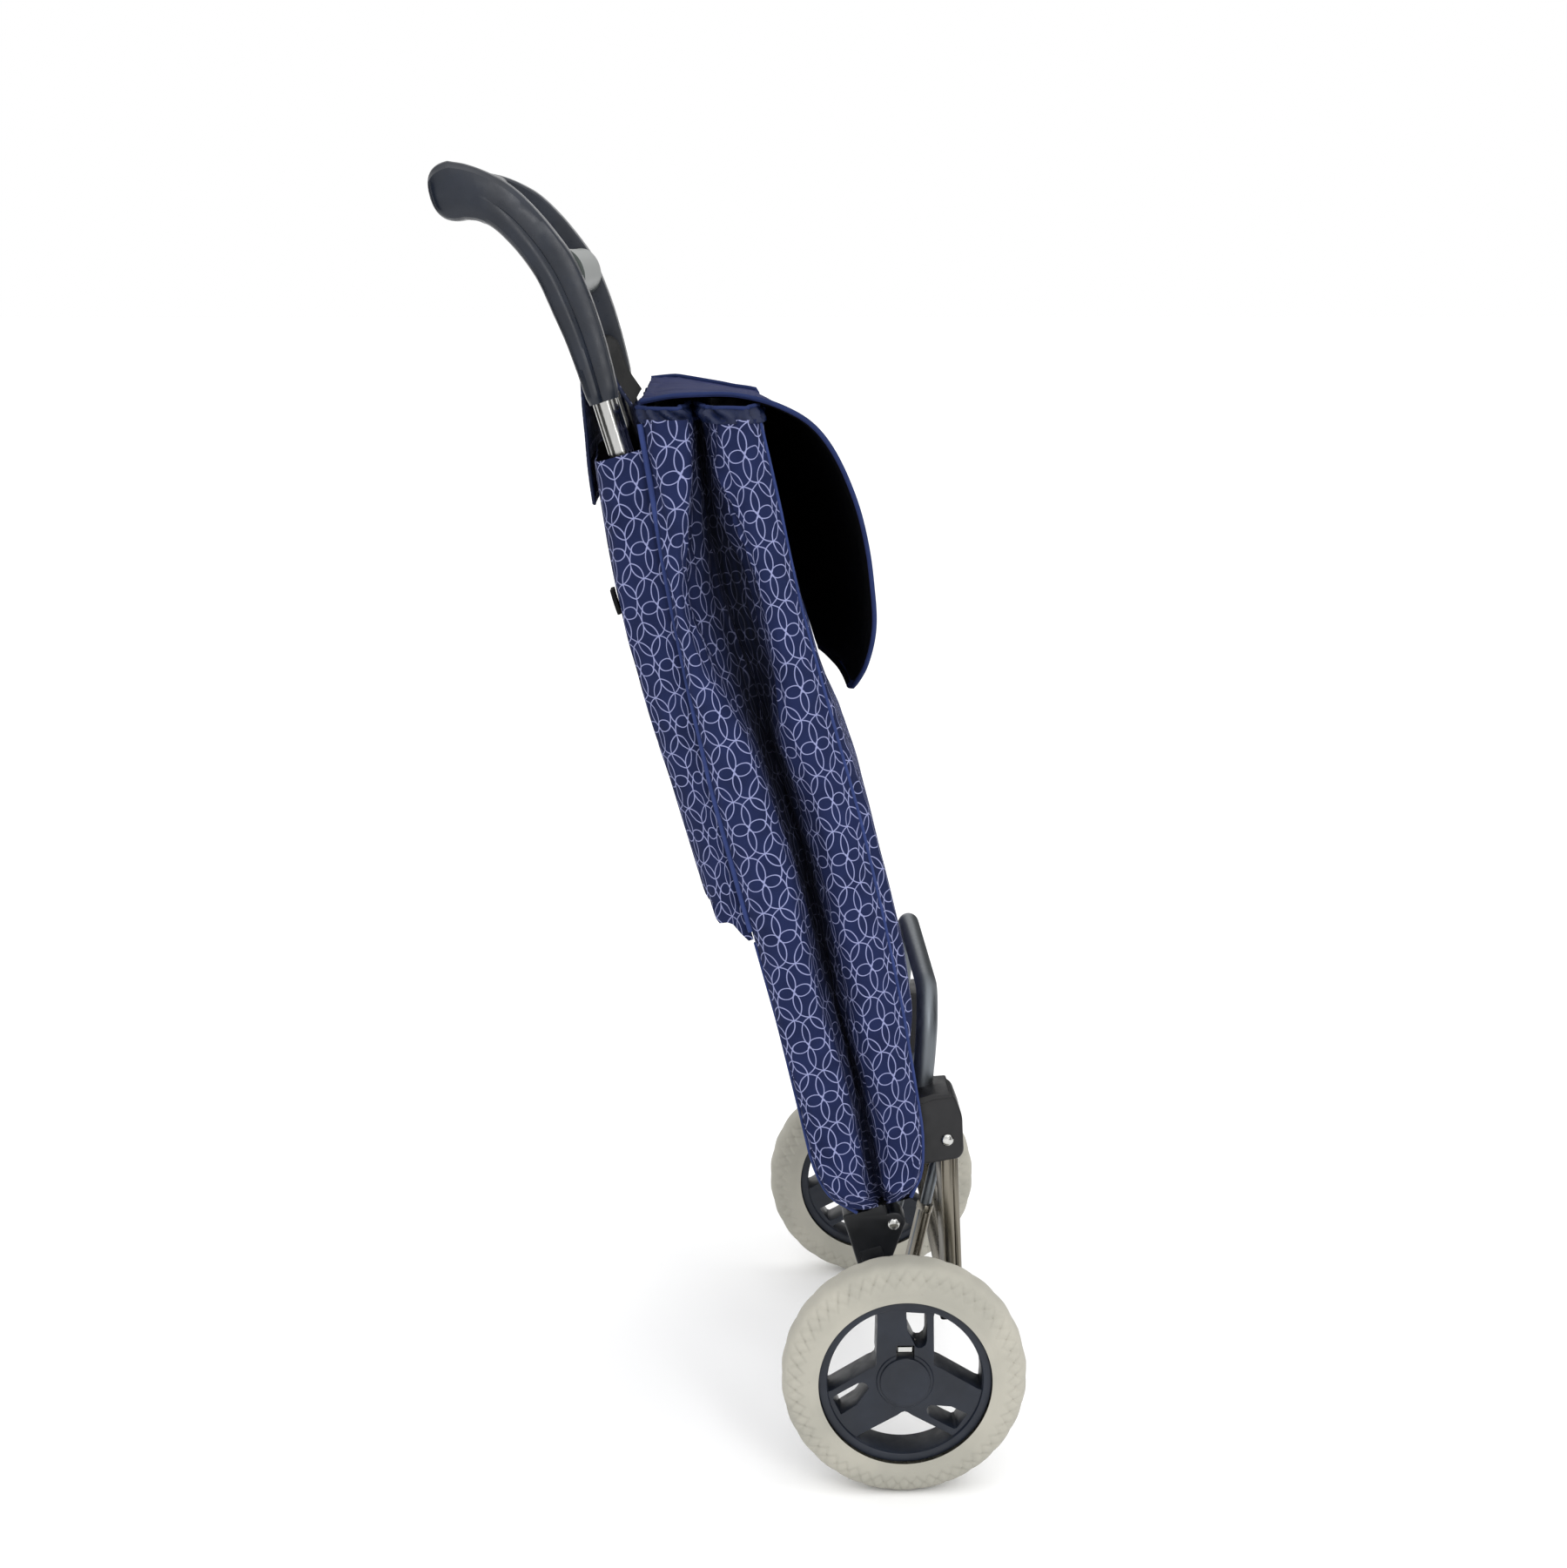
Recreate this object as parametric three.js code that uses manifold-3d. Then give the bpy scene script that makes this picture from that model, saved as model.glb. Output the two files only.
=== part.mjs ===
// Two-wheeled folding shopping trolley, folded and leaning back on its wheels.
// Millimetres, +Z up. X runs along the axle, -Y is the front of the bag and +Y the user's side.
// Almost every piece is drawn in the leaning frame of the main tubes:
// local X is the axle's direction, local Y points rearwards (w) and local Z up the tubes (u).
import * as THREE from 'three';
import { mergeVertices } from 'three/addons/utils/BufferGeometryUtils.js';
import Module from 'manifold-3d';

const wasm = await Module();
wasm.setup();

// Driving dimensions
const LEAN = THREE.MathUtils.degToRad(16.7);
const GAP = 0.3;
const RUNNING_GAP = 0.1;
const SIDES = { left: 1, right: -1 };

const WHEEL_RADIUS = 90;
const TYRE_WIDTH = 37;
const TRACK = 389;
const RIM_RADIUS = 63.4;
const RIM_WALL = 6.6;
const HUB_DEPTH = 30;
const HUB_FACE = 28;
const BOSS_RADIUS = 21;
const HUB_CAP_RADIUS = 18.5;
const AXLE_RADIUS = 5;
const AXLE_HALF = TRACK / 2 + 10;

const TUBE_X = 130;
const TUBE_RADIUS = 9;
const TUBE_WALL = 1.4;
const TUBE_BOTTOM = -15;
const TUBE_TOP = 770;

const ARM_BOTTOM = 733;
const ARM_INNER_X = 115;
const ARM_WIDTH = 32;
const SOCKET_TOP = 771;

const PIVOT_A = { u: 92.6, w: -22.9 };
const PIVOT_C = { u: 143.9, w: -79.3 };
const LOOP_X = 114;
const LOOP_RADIUS = 8;
const LOOP_KNEE = { u: 186, w: -74.5 };
const LOOP_TOP = { u: 246, w: -97 };
const LOOP_CORNER = 34;

const LEG_X = 131;
const LEG_ANGLE = THREE.MathUtils.degToRad(13.9);
const LEG_LENGTH = 133;
const STRUT_X = 114;
const SLEEVE_LENGTH = 102;
const ROD_RADIUS = 4.1;
const ROD_START = 58;

const BAG_RIM_Z = 780;
const COLLAR_TOP_Z = 787;
const LOBE_X = 165;

const BAR_U = 762;
const SHEET = 2;

// Materials
const finish = (color, roughness, metalness) =>
  new THREE.MeshStandardMaterial({ color, roughness, metalness });
const POLISHED = finish(0xb9bcc0, 0.22, 1);
const SATIN_METAL = finish(0x8d8a82, 0.38, 1);
const GREY_METAL = finish(0x7f858b, 0.35, 1);
const BRIGHT_STEEL = finish(0xc8c8c6, 0.25, 1);
const HANDLE_PLASTIC = finish(0x2e343e, 0.42, 0);
const GREY_PLASTIC = finish(0x7d8582, 0.35, 0);
const HUB_PLASTIC = finish(0x262c36, 0.45, 0);
const BRACKET_PLASTIC = finish(0x191e26, 0.4, 0);
const TYRE_FOAM = finish(0xc8c4ba, 0.75, 0);
const PRINTED_CLOTH = finish(0x23265a, 0.9, 0);
const BLUE_CLOTH = finish(0x2a3169, 0.85, 0);
const BLACK_CLOTH = finish(0x0d0d0d, 0.9, 0);

// Geometry helpers
function toSolid(geometry) {
  const bare = geometry.clone();
  bare.deleteAttribute('normal');
  bare.deleteAttribute('uv');
  const merged = mergeVertices(bare, 1e-3);
  const index = merged.index.array;
  const kept = [];
  for (let i = 0; i < index.length; i += 3) {
    const [a, b, c] = index.slice(i, i + 3);
    if (a !== b && b !== c && c !== a) kept.push(a, b, c);
  }
  return new wasm.Manifold(new wasm.Mesh({
    numProp: 3,
    vertProperties: new Float32Array(merged.attributes.position.array),
    triVerts: new Uint32Array(kept),
  }));
}

function toGeometry(solid) {
  const { vertProperties, triVerts } = solid.getMesh();
  const geometry = new THREE.BufferGeometry();
  geometry.setAttribute('position', new THREE.BufferAttribute(vertProperties, 3));
  geometry.setIndex(new THREE.BufferAttribute(triVerts, 1));
  geometry.computeVertexNormals();
  return geometry;
}

const cut = (body, ...tools) =>
  toGeometry(tools.reduce((rest, tool) => rest.subtract(toSolid(tool)), toSolid(body)));
const join = (body, ...others) =>
  toGeometry(others.reduce((sum, other) => sum.add(toSolid(other)), toSolid(body)));
const common = (body, other) => toGeometry(toSolid(body).intersect(toSolid(other)));

function box(x0, x1, y0, y1, z0, z1) {
  const geometry = new THREE.BoxGeometry(x1 - x0, y1 - y0, z1 - z0);
  return geometry.translate((x0 + x1) / 2, (y0 + y1) / 2, (z0 + z1) / 2);
}

function rodX(radius, x0, x1, w = 0, u = 0, segments = 24) {
  const geometry = new THREE.CylinderGeometry(radius, radius, x1 - x0, segments);
  return geometry.rotateZ(-Math.PI / 2).translate((x0 + x1) / 2, w, u);
}

function rodUp(radius, u0, u1, x = 0, w = 0, segments = 24) {
  const geometry = new THREE.CylinderGeometry(radius, radius, u1 - u0, segments);
  return geometry.rotateX(Math.PI / 2).translate(x, w, (u0 + u1) / 2);
}

// Turned shape about the X axis; profile points are [radius, x].
function turned(profile, segments) {
  const points = profile.map(([radius, x]) => new THREE.Vector2(radius, x));
  return new THREE.LatheGeometry(points, segments).rotateZ(-Math.PI / 2);
}

// Side outline in (w, u), extruded from x0 to x1.
const SIDE_BASIS = new THREE.Matrix4().makeBasis(
  new THREE.Vector3(0, 1, 0), new THREE.Vector3(0, 0, 1), new THREE.Vector3(1, 0, 0));
function sidePlate(shape, x0, x1, bevel = 0, curveSegments = 8) {
  const geometry = new THREE.ExtrudeGeometry(shape, {
    depth: x1 - x0 - 2 * bevel, bevelEnabled: bevel > 0, bevelThickness: bevel,
    bevelSize: bevel, bevelOffset: -bevel, bevelSegments: 2, curveSegments,
  });
  return geometry.translate(0, 0, bevel).applyMatrix4(SIDE_BASIS).translate(x0, 0, 0);
}

const shapeOf = (points) => new THREE.Shape(points.map(([w, u]) => new THREE.Vector2(w, u)));

function splineEdge(points, divisions) {
  const curve = new THREE.SplineCurve(points.map(([w, u]) => new THREE.Vector2(w, u)));
  return curve.getPoints(divisions).map((p) => [p.x, p.y]);
}

function smooth(table, u) {
  for (let i = 1; i < table.length; i += 1) {
    const [u0, v0] = table[i - 1];
    const [u1, v1] = table[i];
    if (u <= u1 || i === table.length - 1) {
      return v0 + (v1 - v0) * THREE.MathUtils.clamp((u - u0) / (u1 - u0), 0, 1);
    }
  }
  return table[0][1];
}

// Closed body through a stack of outlines; outline(u) gives [x, w] points, equally many.
function loft(levels, outline) {
  const rings = levels.map((u) => outline(u).map(([x, w]) => [x, w, u]));
  const count = rings[0].length;
  const index = [];
  for (let level = 0; level < rings.length - 1; level += 1) {
    for (let i = 0; i < count; i += 1) {
      const a = level * count + i;
      const b = level * count + (i + 1) % count;
      index.push(a, b, b + count, a, b + count, a + count);
    }
  }
  for (const [ring, flip] of [[0, true], [rings.length - 1, false]]) {
    const contour = rings[ring].map(([x, w]) => new THREE.Vector2(x, w));
    for (const [a, b, c] of THREE.ShapeUtils.triangulateShape(contour, [])) {
      const face = flip ? [a, c, b] : [a, b, c];
      index.push(...face.map((i) => i + ring * count));
    }
  }
  const geometry = new THREE.BufferGeometry();
  geometry.setAttribute('position', new THREE.Float32BufferAttribute(rings.flat(2), 3));
  geometry.setIndex(index);
  geometry.computeVertexNormals();
  return geometry;
}

// Everything above (or below) a level height, expressed in the leaning frame.
function levelSlab(z0, z1) {
  return box(-400, 400, -400, 400, z0 - WHEEL_RADIUS, z1 - WHEEL_RADIUS).rotateX(LEAN);
}

// Scene graph
const trolley = new THREE.Group();
const leaning = new THREE.Group();
leaning.rotation.x = -LEAN;
leaning.position.z = WHEEL_RADIUS;
trolley.add(leaning);

function place(name, geometry, material, parent = leaning) {
  const mesh = new THREE.Mesh(geometry, material);
  mesh.name = name;
  parent.add(mesh);
  return mesh;
}

// Wheels
function tyreGeometry() {
  const half = TYRE_WIDTH / 2;
  const inner = RIM_RADIUS + GAP;
  const steps = 10;
  const profile = [];
  for (let i = 0; i <= steps; i += 1) {
    const angle = Math.PI * (i / steps) - Math.PI / 2;
    const across = Math.sign(angle) * Math.abs(Math.sin(angle)) ** 0.62;
    const out = Math.abs(Math.cos(angle)) ** 0.62;
    profile.push([inner + (WHEEL_RADIUS - inner) * out, half * across]);
  }
  profile.push(profile[0]);
  return turned(profile, 42);
}

const polar = (radius, angle) => [radius * Math.cos(angle), radius * Math.sin(angle)];

// Opening between two neighbouring spokes, rounded at its outer corners.
function spokeOpening(centreAngle) {
  const outer = RIM_RADIUS - RIM_WALL;
  const points = [];
  for (let i = -4; i <= 4; i += 1) {
    points.push(polar(outer, centreAngle + THREE.MathUtils.degToRad(i * 9)));
  }
  points.push(polar(40, centreAngle + THREE.MathUtils.degToRad(34)));
  points.push(polar(25.5, centreAngle + THREE.MathUtils.degToRad(14)));
  points.push(polar(25.5, centreAngle - THREE.MathUtils.degToRad(14)));
  points.push(polar(40, centreAngle - THREE.MathUtils.degToRad(34)));
  return shapeOf(points);
}

// Slot that splits one spoke in two: it lies to one side of the spoke's centre line.
const SLOT = [[0.8, 52.5], [1.2, 40], [7.5, 27], [12, 26.5], [15, 28], [15.2, 52.5]];

function spokeSlot(angle) {
  return shapeOf(SLOT.map(([w, u]) => {
    const turned = new THREE.Vector2(w, u).rotateAround(new THREE.Vector2(), angle);
    return [turned.x, turned.y];
  }));
}

function hubGeometry() {
  const face = HUB_DEPTH / 2;
  const rim = turned([
    [RIM_RADIUS - RIM_WALL, -face], [RIM_RADIUS, -face], [RIM_RADIUS, face],
    [RIM_RADIUS - RIM_WALL, face], [RIM_RADIUS - RIM_WALL, -face],
  ], 42);
  const disc = rodX(RIM_RADIUS - RIM_WALL / 2, face - HUB_FACE, face - 1.2, 0, 0, 42);
  const boss = rodX(BOSS_RADIUS, -face, face - 1.2, 0, 0, 28);
  const cuts = [rodX(AXLE_RADIUS + RUNNING_GAP, -40, 40)];
  for (const turn of [30, 150, 270]) {
    const angle = THREE.MathUtils.degToRad(turn);
    cuts.push(sidePlate(spokeOpening(angle), -40, 40));
    cuts.push(sidePlate(spokeSlot(angle - Math.PI / 6), -40, 40));
  }
  cuts.push(box(-2.8, 1.2, -8.8, 8.8, -14, 30));
  cuts.push(box(0, 40, -6.5, 6.5, 16.8, 27.5));
  return cut(join(rim, disc, boss), ...cuts);
}

function clipGeometry() {
  const plate = box(-2.2, 0.6, -8.5, 8.5, -9, 26);
  const tab = box(-2.2, 10, -5, 5, 21.5, 25);
  const narrow = box(-9, 3, -4.1, 4.1, 0, 4);
  return cut(join(plate, tab), rodX(4.1, -9, 3), narrow, rodX(5.4, -9, 3, 0, 4));
}

function capGeometry() {
  const face = HUB_DEPTH / 2;
  const outer = face + 0.9;
  return turned([
    [0, face - 0.9], [HUB_CAP_RADIUS, face - 0.9], [HUB_CAP_RADIUS, outer - 0.8],
    [HUB_CAP_RADIUS - 0.8, outer], [0, outer],
  ], 28);
}

function axleGeometry() {
  const groove = 4;
  const g0 = TRACK / 2 - 2.5;
  const g1 = TRACK / 2 + 0.9;
  const half = [[groove, g0], [groove, g1], [AXLE_RADIUS, g1], [AXLE_RADIUS, AXLE_HALF]];
  const mirrored = half.map(([radius, x]) => [radius, -x]).reverse();
  return turned([
    [0, -AXLE_HALF], ...mirrored, [AXLE_RADIUS, -g0], [AXLE_RADIUS, g0], ...half, [0, AXLE_HALF],
  ], 24);
}

function buildWheels() {
  place('axle', axleGeometry(), BRIGHT_STEEL);
  for (const [side, sign] of Object.entries(SIDES)) {
    const wheel = new THREE.Group();
    wheel.position.set(sign * TRACK / 2, 0, WHEEL_RADIUS);
    wheel.rotation.z = sign > 0 ? 0 : Math.PI;
    trolley.add(wheel);
    place(`tyre_${side}`, tyreGeometry(), TYRE_FOAM, wheel);
    place(`hub_${side}`, hubGeometry(), HUB_PLASTIC, wheel);
    place(`hub_cap_${side}`, capGeometry(), HUB_PLASTIC, wheel);
    place(`release_clip_${side}`, clipGeometry(), BRIGHT_STEEL, wheel);
    const inner = TUBE_X + TUBE_RADIUS + GAP;
    const outer = TRACK / 2 - HUB_DEPTH / 2 - GAP;
    const [from, to] = sign > 0 ? [inner, outer] : [-outer, -inner];
    const spacer = cut(rodX(9, from, to), rodX(AXLE_RADIUS + RUNNING_GAP, from - 1, to + 1));
    place(`axle_spacer_${side}`, spacer, BRACKET_PLASTIC);
  }
}

// Frame
function tubeGeometry(x) {
  const outer = rodUp(TUBE_RADIUS, TUBE_BOTTOM, TUBE_TOP, x);
  const bore = rodUp(TUBE_RADIUS - TUBE_WALL, TUBE_BOTTOM - 5, TUBE_TOP + 5, x);
  const cross = rodX(AXLE_RADIUS + RUNNING_GAP, x - 20, x + 20);
  return cut(outer, bore, cross);
}

function pivotBracketGeometry() {
  const ear = new THREE.Shape();
  ear.moveTo(12, 66);
  ear.lineTo(12, 110);
  ear.lineTo(-20, 110);
  ear.absarc(PIVOT_A.w, PIVOT_A.u, 9, Math.PI / 2, Math.PI, false);
  ear.lineTo(-14, 66);
  ear.closePath();
  const body = sidePlate(ear, 122.4, 143.5, 1.2);
  const inside = sidePlate(shapeOf([[12, 66], [12, 110], [-12, 110], [-12, 66]]), 116, 126, 1.2);
  const tubeHole = rodUp(TUBE_RADIUS + GAP, 60, 120, TUBE_X);
  const pinHole = rodX(3 + GAP, 110, 150, PIVOT_A.w, PIVOT_A.u);
  return cut(join(body, inside), tubeHole, pinHole);
}

function rivetGeometry(inner, outer, head = 4.8) {
  return turned([
    [0, inner - 1.8], [head - 0.6, inner - 1.8], [head, inner - GAP], [3, inner - GAP],
    [3, outer + GAP], [head, outer + GAP], [head - 0.5, outer + 1.6], [head - 2.2, outer + 2.6],
    [0, outer + 2.8],
  ], 20);
}

const mirrorIf = (geometry, sign) => (sign > 0 ? geometry : mirrored(geometry));

function mirrored(geometry) {
  const solid = toSolid(geometry).mirror([1, 0, 0]);
  return toGeometry(solid);
}

function buildFrame() {
  for (const [side, sign] of Object.entries(SIDES)) {
    place(`main_tube_${side}`, tubeGeometry(sign * TUBE_X), POLISHED);
    place(`pivot_bracket_${side}`, mirrorIf(pivotBracketGeometry(), sign), BRACKET_PLASTIC);
    const rivet = rivetGeometry(LOOP_X - LOOP_RADIUS, 143.5).translate(0, PIVOT_A.w, PIVOT_A.u);
    place(`pivot_rivet_${side}`, mirrorIf(rivet, sign), BRIGHT_STEEL);
  }
}

// Folding platform: a bent loop of tube with a moulded bracket on each leg.
class LoopPath extends THREE.Curve {
  constructor() {
    super();
    const start = { u: PIVOT_A.u - 6, w: PIVOT_A.w + 3.3 };
    const side = [start, LOOP_KNEE, LOOP_TOP];
    this.lengths = [0];
    for (let i = 1; i < 3; i += 1) {
      const run = Math.hypot(side[i].u - side[i - 1].u, side[i].w - side[i - 1].w);
      this.lengths.push(this.lengths[i - 1] + run);
    }
    this.side = side;
    this.leg = this.lengths[2] - LOOP_CORNER;
    this.arc = LOOP_CORNER * Math.PI / 2;
    this.cross = 2 * (LOOP_X - LOOP_CORNER);
    this.total = 2 * this.leg + 2 * this.arc + this.cross;
  }

  // Point of the platform's bent plane at a distance up the leg.
  onPlane(x, run, target) {
    const table = (key) => this.side.map((point, i) => [this.lengths[i], point[key]]);
    return target.set(x, smooth(table('w'), run), smooth(table('u'), run));
  }

  getPoint(t, target = new THREE.Vector3()) {
    const along = t * this.total;
    const back = Math.min(along, this.total - along);
    const sign = along < this.total / 2 ? -1 : 1;
    if (back <= this.leg) return this.onPlane(sign * LOOP_X, back, target);
    const turn = Math.min((back - this.leg) / LOOP_CORNER, Math.PI / 2);
    const straight = Math.max(back - this.leg - this.arc, 0);
    const x = LOOP_X - LOOP_CORNER * (1 - Math.cos(turn)) - straight;
    return this.onPlane(sign * x, this.leg + LOOP_CORNER * Math.sin(turn), target);
  }
}

function loopGeometry() {
  const circle = new THREE.Shape().absarc(0, 0, LOOP_RADIUS, 0, 2 * Math.PI, false);
  const tube = new THREE.ExtrudeGeometry(circle, {
    steps: 44, curveSegments: 6, bevelEnabled: false, extrudePath: new LoopPath(),
  });
  const pins = Object.values(SIDES).map((sign) =>
    rodX(3 + RUNNING_GAP, sign * LOOP_X - 20, sign * LOOP_X + 20, PIVOT_A.w, PIVOT_A.u, 20));
  return cut(tube, ...pins);
}

function legBracketGeometry() {
  const outline = shapeOf([
    [-78, 191], [-90, 188], [-94, 183], [-95, 160], [-92, 146], [-88, 131], [-84, 127],
    [-50, 131], [-44, 139], [-61, 180], [-65, 191],
  ]);
  const hollow = shapeOf([
    [-68, 184], [-88.5, 181], [-92, 160], [-91, 151], [-120, 151], [-120, 100], [0, 100], [0, 184],
  ]);
  const shell = sidePlate(outline, LOOP_X - 10, 142);
  const room = sidePlate(hollow, LOOP_X - 8.4, 139.6);
  const axis = new THREE.CylinderGeometry(LOOP_RADIUS + 1.5, LOOP_RADIUS + 1.5, 160, 24);
  const passage = axis.rotateX(Math.PI / 2)
    .rotateX(Math.atan2(LOOP_KNEE.w - PIVOT_A.w, LOOP_KNEE.u - PIVOT_A.u) * -1)
    .translate(LOOP_X, LOOP_KNEE.w - 4, LOOP_KNEE.u + 8);
  const pin = rodX(3 + GAP, 130, 150, PIVOT_C.w, PIVOT_C.u, 20);
  return cut(shell, room, passage, pin);
}

function buildPlatform() {
  place('platform_loop', loopGeometry(), GREY_METAL);
  for (const [side, sign] of Object.entries(SIDES)) {
    place(`leg_bracket_${side}`, mirrorIf(legBracketGeometry(), sign), BRACKET_PLASTIC);
    const rivet = rivetGeometry(124, 142).translate(0, PIVOT_C.w, PIVOT_C.u);
    place(`leg_rivet_${side}`, mirrorIf(rivet, sign), BRIGHT_STEEL);
  }
}

// Front leg frame: two grooved flat bars and a foot bar, drawn hanging from the rivets.
function barSection(halfX, halfW, groove) {
  const shape = new THREE.Shape();
  const round = 3;
  shape.moveTo(halfX, -groove);
  shape.lineTo(halfX - 1, 0);
  shape.lineTo(halfX, groove);
  shape.lineTo(halfX, halfW - round);
  shape.quadraticCurveTo(halfX, halfW, halfX - round, halfW);
  shape.lineTo(-halfX + round, halfW);
  shape.quadraticCurveTo(-halfX, halfW, -halfX, halfW - round);
  shape.lineTo(-halfX, -halfW + round);
  shape.quadraticCurveTo(-halfX, -halfW, -halfX + round, -halfW);
  shape.lineTo(halfX - round, -halfW);
  shape.quadraticCurveTo(halfX, -halfW, halfX, -halfW + round);
  shape.closePath();
  return shape;
}

function uprightBar(section, z0, z1) {
  const geometry = new THREE.ExtrudeGeometry(section, {
    depth: z1 - z0, bevelEnabled: false, curveSegments: 4,
  });
  return geometry.translate(0, 0, z0);
}

function buildFrontLegs() {
  const hinge = new THREE.Group();
  hinge.position.set(0, PIVOT_C.w, PIVOT_C.u);
  hinge.rotation.x = LEG_ANGLE;
  leaning.add(hinge);
  for (const [side, sign] of Object.entries(SIDES)) {
    const bar = uprightBar(barSection(6, 8, 1.4), -LEG_LENGTH + 8.4, 8).translate(LEG_X, 0, 0);
    const leg = cut(bar, rodX(3 + RUNNING_GAP, 100, 150, 0, 0, 20));
    place(`front_leg_${side}`, mirrorIf(leg, sign), SATIN_METAL, hinge);
    const pad = box(LEG_X - 9, LEG_X + 9, -10, 10, -LEG_LENGTH - 12, -LEG_LENGTH - 1);
    const seat = rodX(8 + GAP, 100, 160, 0, -LEG_LENGTH, 32);
    place(`foot_pad_${side}`, mirrorIf(cut(pad, seat), sign), BRACKET_PLASTIC, hinge);
  }
  place('foot_bar', rodX(8, -LEG_X - 10, LEG_X + 10, 0, -LEG_LENGTH, 28), SATIN_METAL, hinge);
}

// Telescopic struts from the axle to the platform brackets.
function buildStruts() {
  const span = Math.hypot(PIVOT_C.u, PIVOT_C.w);
  const strut = new THREE.Group();
  strut.rotation.x = Math.atan2(-PIVOT_C.w, PIVOT_C.u);
  leaning.add(strut);
  const eyeHole = rodX(AXLE_RADIUS + RUNNING_GAP, 90, 140);
  const bore = rodUp(ROD_RADIUS + RUNNING_GAP, ROD_START - 54, SLEEVE_LENGTH + 5, STRUT_X, 0, 24);
  for (const [side, sign] of Object.entries(SIDES)) {
    const tube = uprightBar(barSection(6.5, 5.4, 1), 6, SLEEVE_LENGTH).translate(STRUT_X, 0, 0);
    const eye = rodX(9, STRUT_X - 5.5, STRUT_X + 5.5, 0, 0, 28);
    const sleeve = cut(cut(join(tube, eye), bore), eyeHole);
    place(`strut_sleeve_${side}`, mirrorIf(sleeve, sign), SATIN_METAL, strut);
    const rod = rodUp(ROD_RADIUS, ROD_START, span - 2, STRUT_X, 0, 24);
    const end = rodX(6, STRUT_X - 4, STRUT_X + 4, 0, span, 24);
    place(`strut_rod_${side}`, mirrorIf(join(rod, end), sign), GREY_METAL, strut);
  }
}

// Handle
const ARM_REAR = [[11.3, ARM_BOTTOM], [13, 774], [15.7, 799], [18.7, 823], [23.7, 840],
  [29.8, 854], [37, 866], [49, 875], [60, 879], [67, 884]];
const ARM_FRONT = [[71, 899], [67, 914], [56, 918], [41, 911], [28, 901], [16, 888],
  [5.6, 870], [-2.6, 851], [-8.9, 832], [-12, 808], [-13, 783], [-12.3, 758], [-10.4, ARM_BOTTOM]];

function armGeometry() {
  const outline = shapeOf([...splineEdge(ARM_REAR, 16), ...splineEdge(ARM_FRONT, 22)]);
  const arm = sidePlate(outline, ARM_INNER_X, ARM_INNER_X + ARM_WIDTH, 5);
  return cut(arm, rodUp(TUBE_RADIUS + GAP, 700, SOCKET_TOP, TUBE_X));
}

function ellipseBar(halfW, halfU, halfX, w, u, bow = 0) {
  const section = new THREE.Shape().absellipse(0, 0, halfW, halfU, 0, 2 * Math.PI, false, 0);
  const centre = new THREE.CatmullRomCurve3([-1, -0.5, 0, 0.5, 1].map((t) =>
    new THREE.Vector3(t * halfX, w - bow * (1 - t * t), u)));
  return bow
    ? new THREE.ExtrudeGeometry(section, {
      steps: 16, curveSegments: 12, bevelEnabled: false, extrudePath: centre })
    : sidePlate(section, -halfX, halfX, 0, 12).translate(0, w, u);
}

function buildHandle() {
  for (const [side, sign] of Object.entries(SIDES)) {
    place(`handle_arm_${side}`, mirrorIf(armGeometry(), sign), HANDLE_PLASTIC);
  }
  const reach = ARM_INNER_X - GAP;
  place('handle_grip', ellipseBar(15, 17, reach, 50, 897), HANDLE_PLASTIC);
  place('cross_bow', ellipseBar(12.5, 17.5, reach, 0, 823), GREY_PLASTIC);
  place('hanging_bar', rodX(5, -reach, reach, 0, BAR_U, 20), POLISHED);
}

// Bag. Each table holds [u, value] pairs down the bag; w values are in the leaning frame.
const REAR_SEAM = [[112, -3], [122, 12], [138, 19], [160, 21], [204, 18], [270, 14], [374, 11],
  [452, 8], [527, 2], [606, -6], [674, -15], [740, -23]];
const BACK_PANEL = [[112, -12.5], [606, -12.5], [674, -17], [740, -24]];
const FRONT_SEAM = [[112, -38], [120, -50], [138, -58], [161, -64], [249, -75], [317, -81],
  [399, -86], [507, -88], [554, -89], [600, -92], [643, -95], [740, -100]];
const FOLD_REAR = [[112, -14], [156, -21], [210, -25], [280, -25], [340, -28], [383, -32],
  [477, -32], [527, -21], [579, -15], [620, -19], [661, -36], [701, -50], [740, -52]];
const FOLD_FRONT = [[112, -24], [152, -30], [206, -37], [274, -43], [334, -48], [376, -52],
  [422, -55], [472, -51], [514, -62], [605, -68], [652, -65], [698, -62], [740, -64]];
const FOLD_DEPTH = [[112, 136], [200, 126], [400, 112], [740, 106]];
const FRONT_PANEL = [[112, -22], [186, -60], [246, -84], [300, -91], [400, -95], [470, -93],
  [540, -92], [600, -94], [690, -99], [740, -102]];

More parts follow.
